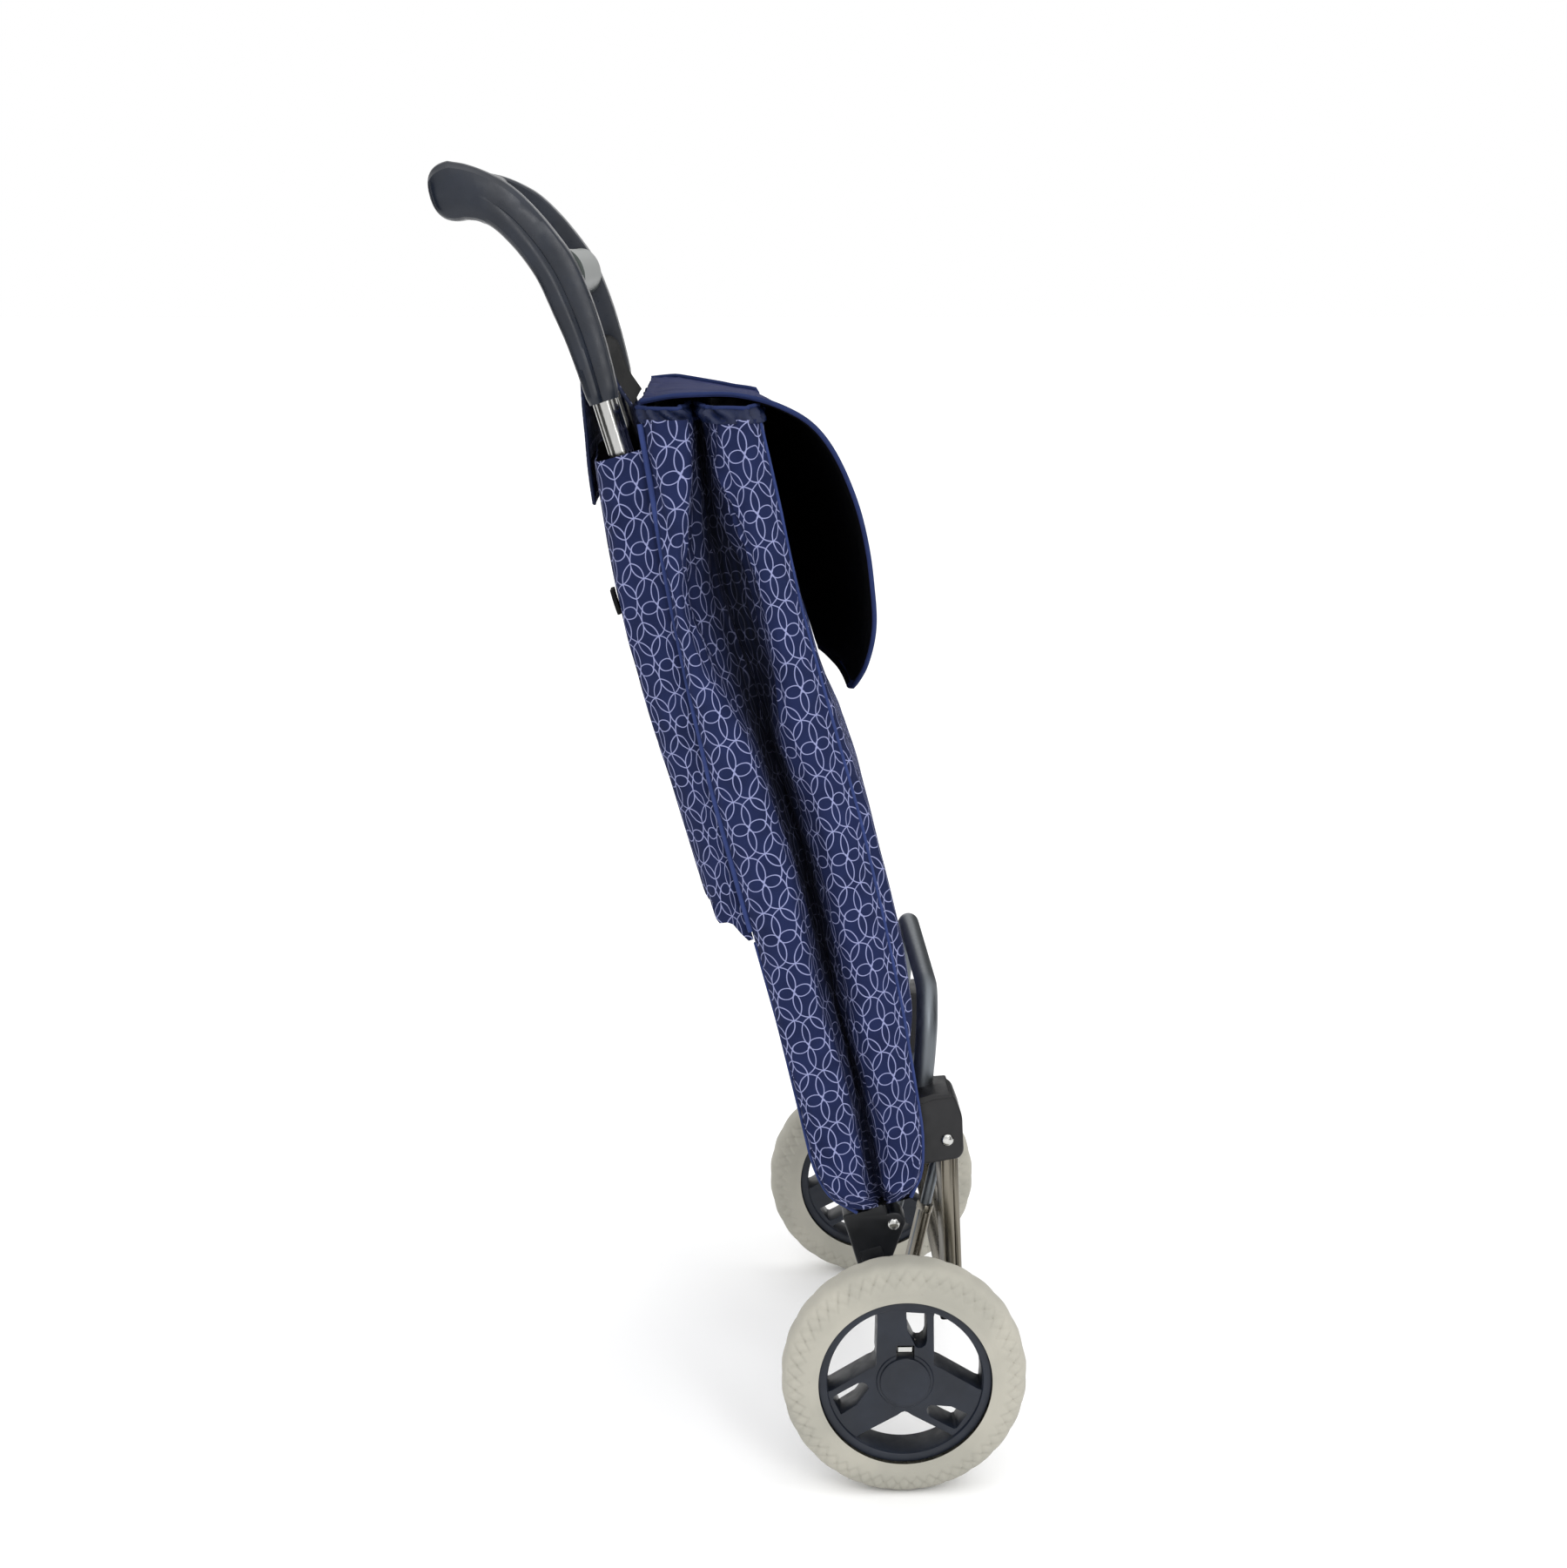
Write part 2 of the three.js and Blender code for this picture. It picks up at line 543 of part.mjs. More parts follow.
function bagOutline(u) {
  const back = smooth(BACK_PANEL, u);
  const rear = smooth(REAR_SEAM, u);
  const front = smooth(FRONT_SEAM, u);
  const foldRear = smooth(FOLD_REAR, u);
  const foldFront = smooth(FOLD_FRONT, u);
  const valley = smooth(FOLD_DEPTH, u);
  const panel = smooth(FRONT_PANEL, u);
  const insideX = u < 250 ? 144 : 128;
  const lobe = LOBE_X - 10 * THREE.MathUtils.clamp((140 - u) / 28, 0, 1);
  const rearLobe = rear - foldRear;
  const frontLobe = foldFront - front;
  const mouth = foldRear - foldFront;
  const half = [
    [60, back], [112, back], [141.5, back - 1], [142.5, Math.max(rear - 3, back)],
    [150, Math.max(rear, back + 1)], [lobe - 4, rear - 0.2 * rearLobe],
    [lobe, rear - 0.5 * rearLobe], [lobe - 5, foldRear + 0.1 * rearLobe],
    [(lobe + valley) / 2, foldRear - 0.25 * mouth], [valley, foldRear - 0.5 * mouth],
    [(lobe + valley) / 2, foldFront + 0.25 * mouth], [lobe - 5, foldFront - 0.1 * frontLobe],
    [lobe, foldFront - 0.5 * frontLobe], [lobe - 4, front + 0.2 * frontLobe],
    [150, front], [insideX, Math.min(front + 1, panel - 1)], [insideX - 1, panel - 0.5],
    [60, panel],
  ];
  const mirror = half.map(([x, w]) => [-x, w]).reverse();
  return [...half, ...mirror].reverse();
}

function cavityOutline(u) {
  const panel = smooth(FRONT_PANEL, u) + 3;
  const back = smooth(BACK_PANEL, u) - 3;
  return [[-98, panel], [98, panel], [98, back], [-98, back]];
}

const BAG_LEVELS = [112, 118, 126, 138, 160, 186, 215, 246, 270, 300, 350, 400, 450, 510, 560,
  606, 640, 674, 697, 740];

function buildBag() {
  const outer = loft(BAG_LEVELS, bagOutline);
  const cavity = loft([150, 186, 246, 300, 400, 560, 745], cavityOutline);
  const rim = levelSlab(BAG_RIM_Z, 1200);
  place('bag_body', cut(outer, cavity, rim), PRINTED_CLOTH);
  const band = common(outer, levelSlab(BAG_RIM_Z + GAP, COLLAR_TOP_Z));
  place('bag_collar', cut(band, cavity), BLUE_CLOTH);
}

// Sleeve behind the main tubes, open at the top.
const SLEEVE_REAR = [[345, 35], [400, 34], [500, 33], [600, 31], [645, 26], [697, 19]];

function sleeveOutline(u) {
  const back = smooth(SLEEVE_REAR, u);
  const seam = Math.max(smooth(REAR_SEAM, u), smooth(BACK_PANEL, u) + 1) + 1;
  const outer = [[149, seam], [148.5, back - 14], [143, back - 4], [132, back], [60, back + 1]];
  const inner = [[60, back + 1 - SHEET], [131, back - SHEET], [141.5, back - 5], [146.5, back - 14],
    [147, seam]];
  const flip = (list) => list.map(([x, w]) => [-x, w]).reverse();
  return [...outer, ...flip(outer), ...flip(inner), ...inner];
}

function buildSleeve() {
  place('rear_sleeve', loft([350, 400, 450, 510, 560, 606, 640, 674, 697], sleeveOutline), PRINTED_CLOTH);
  place('sleeve_tab', box(-136, -118, 32.6, 34.4, 588, 606), BLACK_CLOTH);
}

// Flap over the mouth of the bag and the panel that hangs the bag on its bar.
const FLAP_EDGE = [[-24, 726], [-45, 723], [-66, 717], [-92, 708], [-115, 694.5], [-133, 676],
  [-143, 650], [-147, 615], [-145, 575], [-137, 532], [-122, 500], [-105, 481]];
const FLAP_HALF = 144;
const FLAP_SHEET = 2.4;
const PANEL_EDGE = [[-13, 722], [-7.6, 741], [-6.4, 762], [0, 768.4], [6.4, 762], [13, 742],
  [20, 712], [25, 690], [29.5, 664]];

function evenLine(points, divisions) {
  const curve = new THREE.SplineCurve(points.map(([w, u]) => new THREE.Vector2(w, u)));
  return curve.getSpacedPoints(divisions);
}

// Outline of a sheet of the given thickness on the inner side of a side-view line.
function thickened(line, thickness) {
  const offset = line.map((p, i) => {
    const before = line[Math.max(i - 1, 0)];
    const after = line[Math.min(i + 1, line.length - 1)];
    const run = after.clone().sub(before).normalize();
    return [p.x - run.y * thickness, p.y + run.x * thickness];
  });
  return [...line.map((p) => [p.x, p.y]), ...offset.reverse()];
}

// The flap bulges at its right edge and hangs flat against the bag at its left edge.
function flapOutline(x) {
  const flat = ((x + FLAP_HALF + 1) / (2 * FLAP_HALF + 2)) ** 2;
  const line = evenLine(FLAP_EDGE, 26).map((p) => {
    const against = smooth(FRONT_PANEL, p.y) - FLAP_SHEET - 2;
    return new THREE.Vector2(p.x + flat * Math.max(0, against - p.x), p.y);
  });
  return thickened(line, FLAP_SHEET);
}

function frontView(halfX, u0, u1, corner) {
  const shape = new THREE.Shape();
  shape.moveTo(-halfX, u1);
  shape.lineTo(-halfX, u0 + corner);
  shape.absarc(-halfX + corner, u0 + corner, corner, Math.PI, 1.5 * Math.PI, false);
  shape.absarc(halfX - corner, u0 + corner, corner, 1.5 * Math.PI, 2 * Math.PI, false);
  shape.lineTo(halfX, u1);
  shape.closePath();
  const geometry = new THREE.ExtrudeGeometry(shape, {
    depth: 400, bevelEnabled: false, curveSegments: 7,
  });
  return geometry.rotateX(Math.PI / 2).translate(0, 200, 0);
}

function buildFlap() {
  const across = [-1, -0.75, -0.5, -0.25, 0, 0.25, 0.5, 0.75, 1].map((t) => t * (FLAP_HALF + 1));
  const sheet = loft(across, flapOutline).applyMatrix4(SIDE_BASIS);
  place('flap', common(sheet, frontView(FLAP_HALF, 479, 760, 62)), BLUE_CLOTH);
  const panel = shapeOf(thickened(evenLine(PANEL_EDGE, 24), 1.6));
  place('hanging_panel', sidePlate(panel, -100, 100), BLACK_CLOTH);
}

buildWheels();
buildFrame();
buildPlatform();
buildFrontLegs();
buildStruts();
buildHandle();
buildBag();
buildSleeve();
buildFlap();

// The origin is the centre of the footprint, at the level of the floor.
trolley.updateMatrixWorld(true);
const extent = new THREE.Box3().setFromObject(trolley, true);
trolley.position.y = -(extent.min.y + extent.max.y) / 2;
trolley.updateMatrixWorld(true);

export default trolley;
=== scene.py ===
"""Looks of a folded two-wheeled shopping trolley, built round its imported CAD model."""

import math

import bmesh
import bpy
import numpy as np
from mathutils import Matrix, Vector
from mathutils.kdtree import KDTree


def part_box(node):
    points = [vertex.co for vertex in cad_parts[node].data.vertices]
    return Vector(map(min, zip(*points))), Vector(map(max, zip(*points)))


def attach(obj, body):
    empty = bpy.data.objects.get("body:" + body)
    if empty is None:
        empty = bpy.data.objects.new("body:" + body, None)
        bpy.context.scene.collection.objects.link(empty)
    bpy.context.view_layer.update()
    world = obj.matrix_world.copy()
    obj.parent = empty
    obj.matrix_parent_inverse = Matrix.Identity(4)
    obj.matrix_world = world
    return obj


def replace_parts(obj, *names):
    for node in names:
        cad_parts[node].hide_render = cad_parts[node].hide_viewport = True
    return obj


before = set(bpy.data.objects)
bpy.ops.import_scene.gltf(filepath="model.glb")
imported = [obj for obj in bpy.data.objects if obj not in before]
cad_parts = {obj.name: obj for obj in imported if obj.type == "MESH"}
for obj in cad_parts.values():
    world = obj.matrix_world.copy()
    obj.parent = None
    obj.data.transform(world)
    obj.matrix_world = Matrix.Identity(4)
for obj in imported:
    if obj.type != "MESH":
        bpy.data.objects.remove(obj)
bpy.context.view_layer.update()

# All shapes below are drawn in millimetres, like the CAD: x along the axle, w rearwards and
# u up the main tubes, in a frame that leans back about the axle.
MM = 0.001
LEAN = math.radians(16.7)
SIDES = {"left": 1, "right": -1}


def middle(node):
    low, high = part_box(node)
    return (low + high) / 2


AXLE = middle("axle")
LEANING = Matrix.Translation(AXLE) @ Matrix.Rotation(-LEAN, 4, "X") @ Matrix.Scale(MM, 4)

WHEEL_RADIUS, TYRE_HALF, RIM_RADIUS, RIM_WALL = 90, 18.5, 63.4, 6.6
HUB_FACE = 13.8
TUBE_X, TUBE_RADIUS, TUBE_WALL = 130, 9, 1.4
PIVOT_A = (-22.9, 92.6)
PIVOT_C = (-79.3, 143.9)
LEG_ANGLE, LEG_LENGTH, LEG_X = math.radians(13.9), 133, 131
STRUT_X = 114
RIM_U, RIM_SLOPE = 720.4, 0.3


# Scene: camera, lights, floor
def srgb(r, g, b):
    def linear(c):
        c /= 255
        return c / 12.92 if c <= 0.04045 else ((c + 0.055) / 1.055) ** 2.4
    return (linear(r), linear(g), linear(b), 1.0)


def add_camera():
    data = bpy.data.cameras.new("camera")
    data.lens, data.sensor_width = 55.28, 36
    camera = bpy.data.objects.new("camera", data)
    camera.location = (-1.8221, AXLE.y + 0.1304, 0.8960)
    yaw, pitch = -0.0259, 0.2193
    forward = Vector((math.cos(pitch) * math.cos(yaw), math.cos(pitch) * math.sin(yaw),
                      -math.sin(pitch)))
    camera.rotation_euler = forward.to_track_quat("-Z", "Y").to_euler()
    bpy.context.scene.collection.objects.link(camera)
    bpy.context.scene.camera = camera


def add_area(name, location, target, size, power):
    data = bpy.data.lights.new(name, "AREA")
    data.shape, data.size, data.size_y, data.energy = "RECTANGLE", size[0], size[1], power
    light = bpy.data.objects.new(name, data)
    light.location = location
    light.rotation_euler = (Vector(target) - Vector(location)).to_track_quat("-Z", "Y").to_euler()
    light.visible_camera = False
    bpy.context.scene.collection.objects.link(light)


def add_studio():
    world = bpy.data.worlds.new("studio")
    world.use_nodes = True
    world.node_tree.nodes["Background"].inputs["Color"].default_value = (1, 1, 1, 1)
    world.node_tree.nodes["Background"].inputs["Strength"].default_value = 1.0
    bpy.context.scene.world = world
    bpy.context.scene.view_settings.view_transform = "Standard"
    data = bpy.data.lights.new("overhead", "SUN")
    data.energy, data.angle = 0.9, math.radians(80)
    sun = bpy.data.objects.new("overhead", data)
    sun.rotation_euler = Vector((0.3, 0.1, -1.0)).to_track_quat("-Z", "Y").to_euler()
    bpy.context.scene.collection.objects.link(sun)
    add_area("strip", (-2.5, -1.0, 1.5), (0, 0, 0.7), (0.4, 2.0), 20)
    for name, turn, width in (("flag_a", 34, 0.9), ("flag_b", 88, 1.2), ("flag_c", -62, 1.0),
                              ("flag_d", -112, 1.0), ("flag_e", 150, 0.9)):
        around = math.radians(180 + turn)
        add_flag(name, (1.6 * math.cos(around), 1.6 * math.sin(around), 0.55), (0, 0, 0.5), (width, 1.7))


def add_flag(name, location, target, size):
    """A dark card outside the picture: only glossy surfaces reflect it, as a studio flag."""
    half_w, half_h = size[0] / 2, size[1] / 2
    mesh = bpy.data.meshes.new(name)
    mesh.from_pydata([(-half_w, -half_h, 0), (half_w, -half_h, 0), (half_w, half_h, 0),
                      (-half_w, half_h, 0)], [], [(0, 1, 2, 3)])
    mesh.materials.append(Shader(name, (0.02, 0.02, 0.02, 1), 0.9).material)
    flag = bpy.data.objects.new(name, mesh)
    flag.location = location
    flag.rotation_euler = (Vector(target) - Vector(location)).to_track_quat("-Z", "Y").to_euler()
    flag.visible_camera = flag.visible_diffuse = flag.visible_shadow = False
    bpy.context.scene.collection.objects.link(flag)


# Node helpers
class Shader:
    """A Principled material with short calls for the nodes that feed it."""

    def __init__(self, name, color, roughness, **sockets):
        self.material = bpy.data.materials.new(name)
        self.material.use_nodes = True
        self.tree = self.material.node_tree
        self.out = self.tree.nodes["Principled BSDF"]
        self.set("Base Color", color)
        self.set("Roughness", roughness)
        for key, value in sockets.items():
            self.set(key.replace("_", " "), value)

    def set(self, socket, value):
        target = self.out.inputs[socket]
        if isinstance(value, bpy.types.NodeSocket):
            self.tree.links.new(value, target)
        else:
            target.default_value = value

    def node(self, kind, settings=(), **inputs):
        node = self.tree.nodes.new(kind)
        for key, value in dict(settings).items():
            setattr(node, key, value)
        for key, value in inputs.items():
            socket = node.inputs[int(key[1:])] if key[0] == "i" and key[1:].isdigit() \
                else node.inputs[key.replace("_", " ")]
            if isinstance(value, bpy.types.NodeSocket):
                self.tree.links.new(value, socket)
            else:
                socket.default_value = value
        return node

    def math(self, operation, a, b=0.0):
        return self.node("ShaderNodeMath", {"operation": operation}, i0=a, i1=b).outputs[0]

    def coords(self, kind="Object"):
        return self.node("ShaderNodeTexCoord").outputs[kind]

    def stretched(self, scale):
        return self.node("ShaderNodeMapping", (), Vector=self.coords(), Scale=scale).outputs[0]

    def noise(self, vector, scale, detail=2.0, rough=0.5):
        return self.node("ShaderNodeTexNoise", (), Vector=vector, Scale=scale, Detail=detail,
                         Roughness=rough).outputs[0]

    def ramp(self, value, low, high, out_low=0.0, out_high=1.0):
        return self.node("ShaderNodeMapRange", {"interpolation_type": "SMOOTHSTEP"}, i0=value, i1=low,
                         i2=high, i3=out_low, i4=out_high).outputs[0]

    def mix(self, factor, a, b):
        node = self.tree.nodes.new("ShaderNodeMix")
        node.data_type = "RGBA"
        for socket, value in ((node.inputs[0], factor), (node.inputs[6], a), (node.inputs[7], b)):
            if isinstance(value, bpy.types.NodeSocket):
                self.tree.links.new(value, socket)
            else:
                socket.default_value = value
        return node.outputs[2]

    def bump(self, height, distance, strength=1.0):
        return self.node("ShaderNodeBump", (), Height=height, Distance=distance,
                         Strength=strength).outputs[0]


def plastic(name, color, roughness):
    s = Shader(name, color, roughness, Specular_IOR_Level=0.4)
    where = s.coords()
    cloud = s.noise(where, 35, 4)
    light = tuple(min(c * 1.25, 1) for c in color[:3]) + (1,)
    dark = tuple(c * 0.85 for c in color[:3]) + (1,)
    s.set("Base Color", s.mix(s.ramp(cloud, 0.35, 0.7), dark, light))
    s.set("Roughness", s.ramp(s.noise(where, 120, 3), 0.3, 0.7, roughness - 0.05, roughness + 0.08))
    s.set("Normal", s.bump(s.noise(where, 2600, 2), 0.00003))
    return s.material


def metal(name, color, roughness, streak=(600, 600, 18), contrast=0.12):
    s = Shader(name, color, roughness, Metallic=1.0)
    lines = s.noise(s.stretched(streak), 1.0, 3, 0.6)
    dark = tuple(c * (1 - contrast) for c in color[:3]) + (1,)
    s.set("Base Color", s.mix(s.ramp(lines, 0.3, 0.7), dark, color))
    s.set("Roughness", s.ramp(lines, 0.25, 0.75, roughness * 0.85, roughness * 1.25))
    s.set("Normal", s.bump(lines, 0.00002, 0.5))
    return s.material


def tyre_foam():
    s = Shader("tyre_foam", srgb(162, 159, 149), 0.7, Specular_IOR_Level=0.3)
    where = s.coords()
    warm = s.mix(s.ramp(s.noise(where, 22, 3), 0.35, 0.7), srgb(156, 154, 144), srgb(169, 166, 155))
    dirt = s.ramp(s.noise(where, 260, 6, 0.65), 0.62, 0.8, 0.0, 0.3)
    s.set("Base Color", s.mix(dirt, warm, srgb(134, 129, 118)))
    fine = s.noise(where, 1500, 3)
    s.set("Normal", s.bump(fine, 0.00005))
    return s.material


def weave(s, uv, pitch=0.0005):
    """Plain weave: threads over and under, pitch apart, as a height and a light and dark tint."""
    split = s.node("ShaderNodeSeparateXYZ", (), Vector=uv)
    turn = 2 * math.pi / pitch
    warp = s.math("SINE", s.math("MULTIPLY", split.outputs[0], turn))
    weft = s.math("SINE", s.math("MULTIPLY", split.outputs[1], turn))
    return s.math("ADD", s.math("MULTIPLY", warp, weft), s.math("MULTIPLY", s.noise(uv, 900, 2), 0.7))


def cloth(name, color, roughness=0.85, sheen=0.04, pitch=0.0005, kind="UV", shine=0.15):
    s = Shader(name, color, roughness, Sheen_Weight=sheen, Sheen_Roughness=0.5,
               Specular_IOR_Level=shine)
    uv = s.coords(kind)
    threads = weave(s, uv, pitch)
    dark = tuple(c * 0.78 for c in color[:3]) + (1,)
    light = tuple(min(c * 1.22, 1) for c in color[:3]) + (1,)
    cloud = s.noise(s.coords(), 60, 3)
    tone = s.math("ADD", s.math("MULTIPLY", threads, 0.25), s.math("SUBTRACT", cloud, 0.5))
    s.set("Base Color", s.mix(s.ramp(tone, -0.5, 0.5), dark, light))
    s.set("Normal", s.bump(threads, 0.00012, 0.5))
    return s.material


# The print repeats every 29 by 42 mm and is mirrored about the middle of each repeat.
PRINT_HALF = (14.5, 21.0)
FOLD_SHADE = (0.122, 0.158)
PRINT_LINE = 0.37


def arc_through(a, b, rise):
    """Centre, radius and chord side of the arc from a to b that rises to the left of a-b."""
    a, b = np.array(a, float), np.array(b, float)
    half = np.linalg.norm(b - a) / 2
    along = (b - a) / (2 * half)
    left = np.array([-along[1], along[0]])
    radius = (half * half + rise * rise) / (2 * abs(rise))
    centre = (a + b) / 2 + left * (rise - math.copysign(radius, rise))
    return centre, radius, a, left * math.copysign(1, rise)


PRINT_ARCS = [
    arc_through((0, 0), (0, 17.5), -2.7),
    arc_through((14.5, 8.4), (6.2, 21), 2.5),
    arc_through((14.5, 8.4), (6.2, 21), -2.7),
    arc_through((0, 17.5), (6.2, 21), 0.5),
    arc_through((12, 0), (14.5, 8.4), -0.6),
]


def print_lines(s, uv):
    """How far each point is from the nearest printed line, in millimetres."""
    split = s.node("ShaderNodeSeparateXYZ", (), Vector=uv)
    x = s.math("PINGPONG", s.math("MULTIPLY", split.outputs[0], 1000), PRINT_HALF[0])
    y = s.math("PINGPONG", s.math("MULTIPLY", split.outputs[1], 1000), PRINT_HALF[1])
    point = s.node("ShaderNodeCombineXYZ", (), X=x, Y=y).outputs[0]
    # Petal beside each flower: an ellipse, measured as a circle in squeezed coordinates.
    petal = s.node("ShaderNodeCombineXYZ", (), X=s.math("SUBTRACT", x, 6.0),
                   Y=s.math("MULTIPLY", y, 6.0 / 4.3)).outputs[0]
    length = s.node("ShaderNodeVectorMath", {"operation": "LENGTH"}, i0=petal).outputs["Value"]
    nearest = s.math("MULTIPLY", s.math("ABSOLUTE", s.math("SUBTRACT", length, 6.0)), 0.82)
    for centre, radius, start, side in PRINT_ARCS:
        away = s.node("ShaderNodeVectorMath", {"operation": "DISTANCE"}, i0=point,
                      i1=(centre[0], centre[1], 0)).outputs["Value"]
        ring = s.math("ABSOLUTE", s.math("SUBTRACT", away, radius))
        offset = s.node("ShaderNodeVectorMath", {"operation": "SUBTRACT"}, i0=point,
                        i1=(start[0], start[1], 0)).outputs[0]
        beyond = s.node("ShaderNodeVectorMath", {"operation": "DOT_PRODUCT"}, i0=offset,
                        i1=(side[0], side[1], 0)).outputs["Value"]
        outside = s.math("MULTIPLY", s.math("LESS_THAN", beyond, -0.15), 20)
        nearest = s.math("MINIMUM", nearest, s.math("ADD", ring, outside))
    return nearest


def printed_cloth(name, folds=False):
    """Printed weave; in the folded sides painted shade darkens the valley of each fold, with less of it on
    the upper rear slope where light is painted in.
    """
    s = Shader(name, srgb(35, 38, 85), 0.8, Sheen_Weight=0.0, Specular_IOR_Level=0.12)
    uv = s.coords("UV")
    threads = weave(s, uv)
    tone = s.ramp(s.math("ADD", s.math("MULTIPLY", threads, 0.3), s.noise(s.coords(), 45, 3)), 0, 1)
    ground = s.mix(tone, srgb(17, 24, 53), srgb(30, 39, 77))
    ink = s.mix(s.ramp(threads, -1, 1.4), srgb(113, 118, 160), srgb(153, 158, 196))
    line = s.ramp(print_lines(s, uv), PRINT_LINE - 0.14, PRINT_LINE + 0.14, 1.0, 0.0)
    color = s.mix(line, ground, ink)
    # Painted shade: near black in the valley of each fold, halved on the upper rear slope as painted light
    # there, and broken up by wrinkle-shaped noise.
    if folds:
        across = s.node("ShaderNodeSeparateXYZ", (), Vector=s.coords()).outputs[0]
        painted_shade = s.ramp(s.math("ABSOLUTE", across), FOLD_SHADE[0], FOLD_SHADE[1], 0.88, 0.0)
        where = s.node("ShaderNodeSeparateXYZ", (), Vector=uv)
        rear = s.ramp(where.outputs[0], 0.060, 0.095, 0.5, 0.0)
        lit = s.math("MULTIPLY", rear, s.ramp(where.outputs[1], 0.48, 0.56))
        painted_shade = s.math("MULTIPLY", painted_shade, s.math("SUBTRACT", 1.0, lit))
        crumpled = s.node("ShaderNodeMapping", (), Vector=uv, Scale=(240, 16, 1)).outputs[0]
        painted_shade = s.math("MULTIPLY", painted_shade, s.ramp(s.noise(crumpled, 1.0, 2), 0.32, 0.6, 0.78, 1.0))
        color = s.mix(painted_shade, color, srgb(9, 11, 15))
    s.set("Base Color", color)
    s.set("Normal", s.bump(threads, 0.00012, 0.5))
    return s.material


def gloss_plastic(name, color):
    s = Shader(name, color, 0.34, Specular_IOR_Level=0.3, Coat_Weight=0.06, Coat_Roughness=0.15)
    cloud = s.noise(s.coords(), 18, 3)
    s.set("Base Color", s.mix(s.ramp(cloud, 0.3, 0.7), tuple(c * 0.9 for c in color[:3]) + (1,),
                              color))
    s.set("Normal", s.bump(s.noise(s.coords(), 700, 2), 0.00001))
    return s.material


def make_materials():
    return {
        "tyre": tyre_foam(),
        "hub": plastic("hub_plastic", srgb(21, 27, 38), 0.42),
        "handle": plastic("handle_plastic", srgb(20, 26, 37), 0.32),
        "bracket": plastic("bracket_plastic", srgb(9, 12, 18), 0.38),
        "black_bracket": plastic("black_bracket", srgb(18, 18, 21), 0.42),
        "grey": gloss_plastic("grey_plastic", srgb(78, 85, 82)),
        "polished": metal("polished_tube", srgb(184, 184, 182), 0.17, contrast=0.1),
        "satin": metal("satin_metal", srgb(128, 123, 112), 0.3),
        "loop": metal("grey_metal", srgb(116, 121, 126), 0.42),
        "steel": metal("bright_steel", srgb(200, 200, 197), 0.2, (300, 300, 300), 0.1),
        "print": printed_cloth("printed_cloth"),
        "print_side": printed_cloth("printed_folds_painted_shade", folds=True),
        "blue": cloth("blue_cloth", srgb(31, 38, 80), 0.7, 0.0, shine=0.12),
        "satin_cloth": cloth("satin_cloth", srgb(12, 24, 56), 0.45, 0.0, shine=0.3),
        "binding": cloth("binding_cloth", srgb(34, 45, 84), 0.8, 0.0, kind="Object", shine=0.12),
        "piping": cloth("piping_cloth", srgb(44, 57, 104), 0.7, 0.0, kind="Object", shine=0.15),
        "lining": cloth("lining_cloth", srgb(7, 7, 8), 0.7, 0.0, 0.0008, shine=0.1),
        "black": cloth("black_cloth", srgb(14, 14, 16), 0.8, 0.0),
    }


# Mesh helpers
def add_piece(name, verts, faces, material, body, slot, matrix=LEANING, uvs=None, crease=38):
    """A mesh piece from points in millimetres, smooth but for its sharp edges."""
    mesh = bpy.data.meshes.new(name)
    mesh.from_pydata([tuple(map(float, v)) for v in verts], [], [tuple(map(int, f)) for f in faces])
    mesh.transform(matrix)
    if uvs is not None:
        layer = mesh.uv_layers.new(name="UVMap")
        flat = np.array(uvs, np.float32)[np.array([v for f in faces for v in f])]
        layer.data.foreach_set("uv", flat.ravel())
    mesh.update()
    piece = bpy.data.objects.new(name, mesh)
    bpy.context.scene.collection.objects.link(piece)
    mesh.materials.append(material)
    finish_mesh(mesh, crease)
    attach(piece, body)
    return piece


def finish_mesh(mesh, crease=38):
    edit = bmesh.new()
    edit.from_mesh(mesh)
    bmesh.ops.remove_doubles(edit, verts=edit.verts, dist=1e-6)
    bmesh.ops.recalc_face_normals(edit, faces=edit.faces)
    edit.to_mesh(mesh)
    edit.free()
    mesh.polygons.foreach_set("use_smooth", [True] * len(mesh.polygons))
    mesh.set_sharp_from_angle(angle=math.radians(crease))


def grid_faces(rows, cols, closed=False):
    across = cols if closed else cols - 1
    return [(r * cols + c, r * cols + (c + 1) % cols, (r + 1) * cols + (c + 1) % cols,
             (r + 1) * cols + c) for r in range(rows - 1) for c in range(across)]


def loft(rings, caps=True):
    """Closed body through rings of equally many points."""
    rings = np.array(rings, float)
    rows, cols = rings.shape[:2]
    faces = grid_faces(rows, cols, closed=True)
    if caps:
        faces.append(tuple(range(cols))[::-1])
        faces.append(tuple((rows - 1) * cols + c for c in range(cols)))
    return rings.reshape(-1, 3), faces


def revolve(profile, segments=64):
    """Turned shape about the x axis. The profile runs [radius, x]."""
    turn = np.linspace(0, 2 * math.pi, segments, endpoint=False)
    rings = [[(x, r * math.cos(t), r * math.sin(t)) for t in turn] for r, x in profile]
    return loft(rings, caps=False)


def rounded(points, radius, steps=4):
    """Polygon with every corner replaced by a small arc."""
    points = [np.array(p, float) for p in points]
    out = []
    for before, corner, after in zip(points[-1:] + points[:-1], points, points[1:] + points[:1]):
        a, b = before - corner, after - corner
        la, lb = np.linalg.norm(a), np.linalg.norm(b)
        cut = min(radius, 0.45 * la, 0.45 * lb)
        start, end = corner + a / la * cut, corner + b / lb * cut
        for t in np.linspace(0, 1, steps):
            out.append((1 - t) ** 2 * start + 2 * t * (1 - t) * corner + t * t * end)
    return out


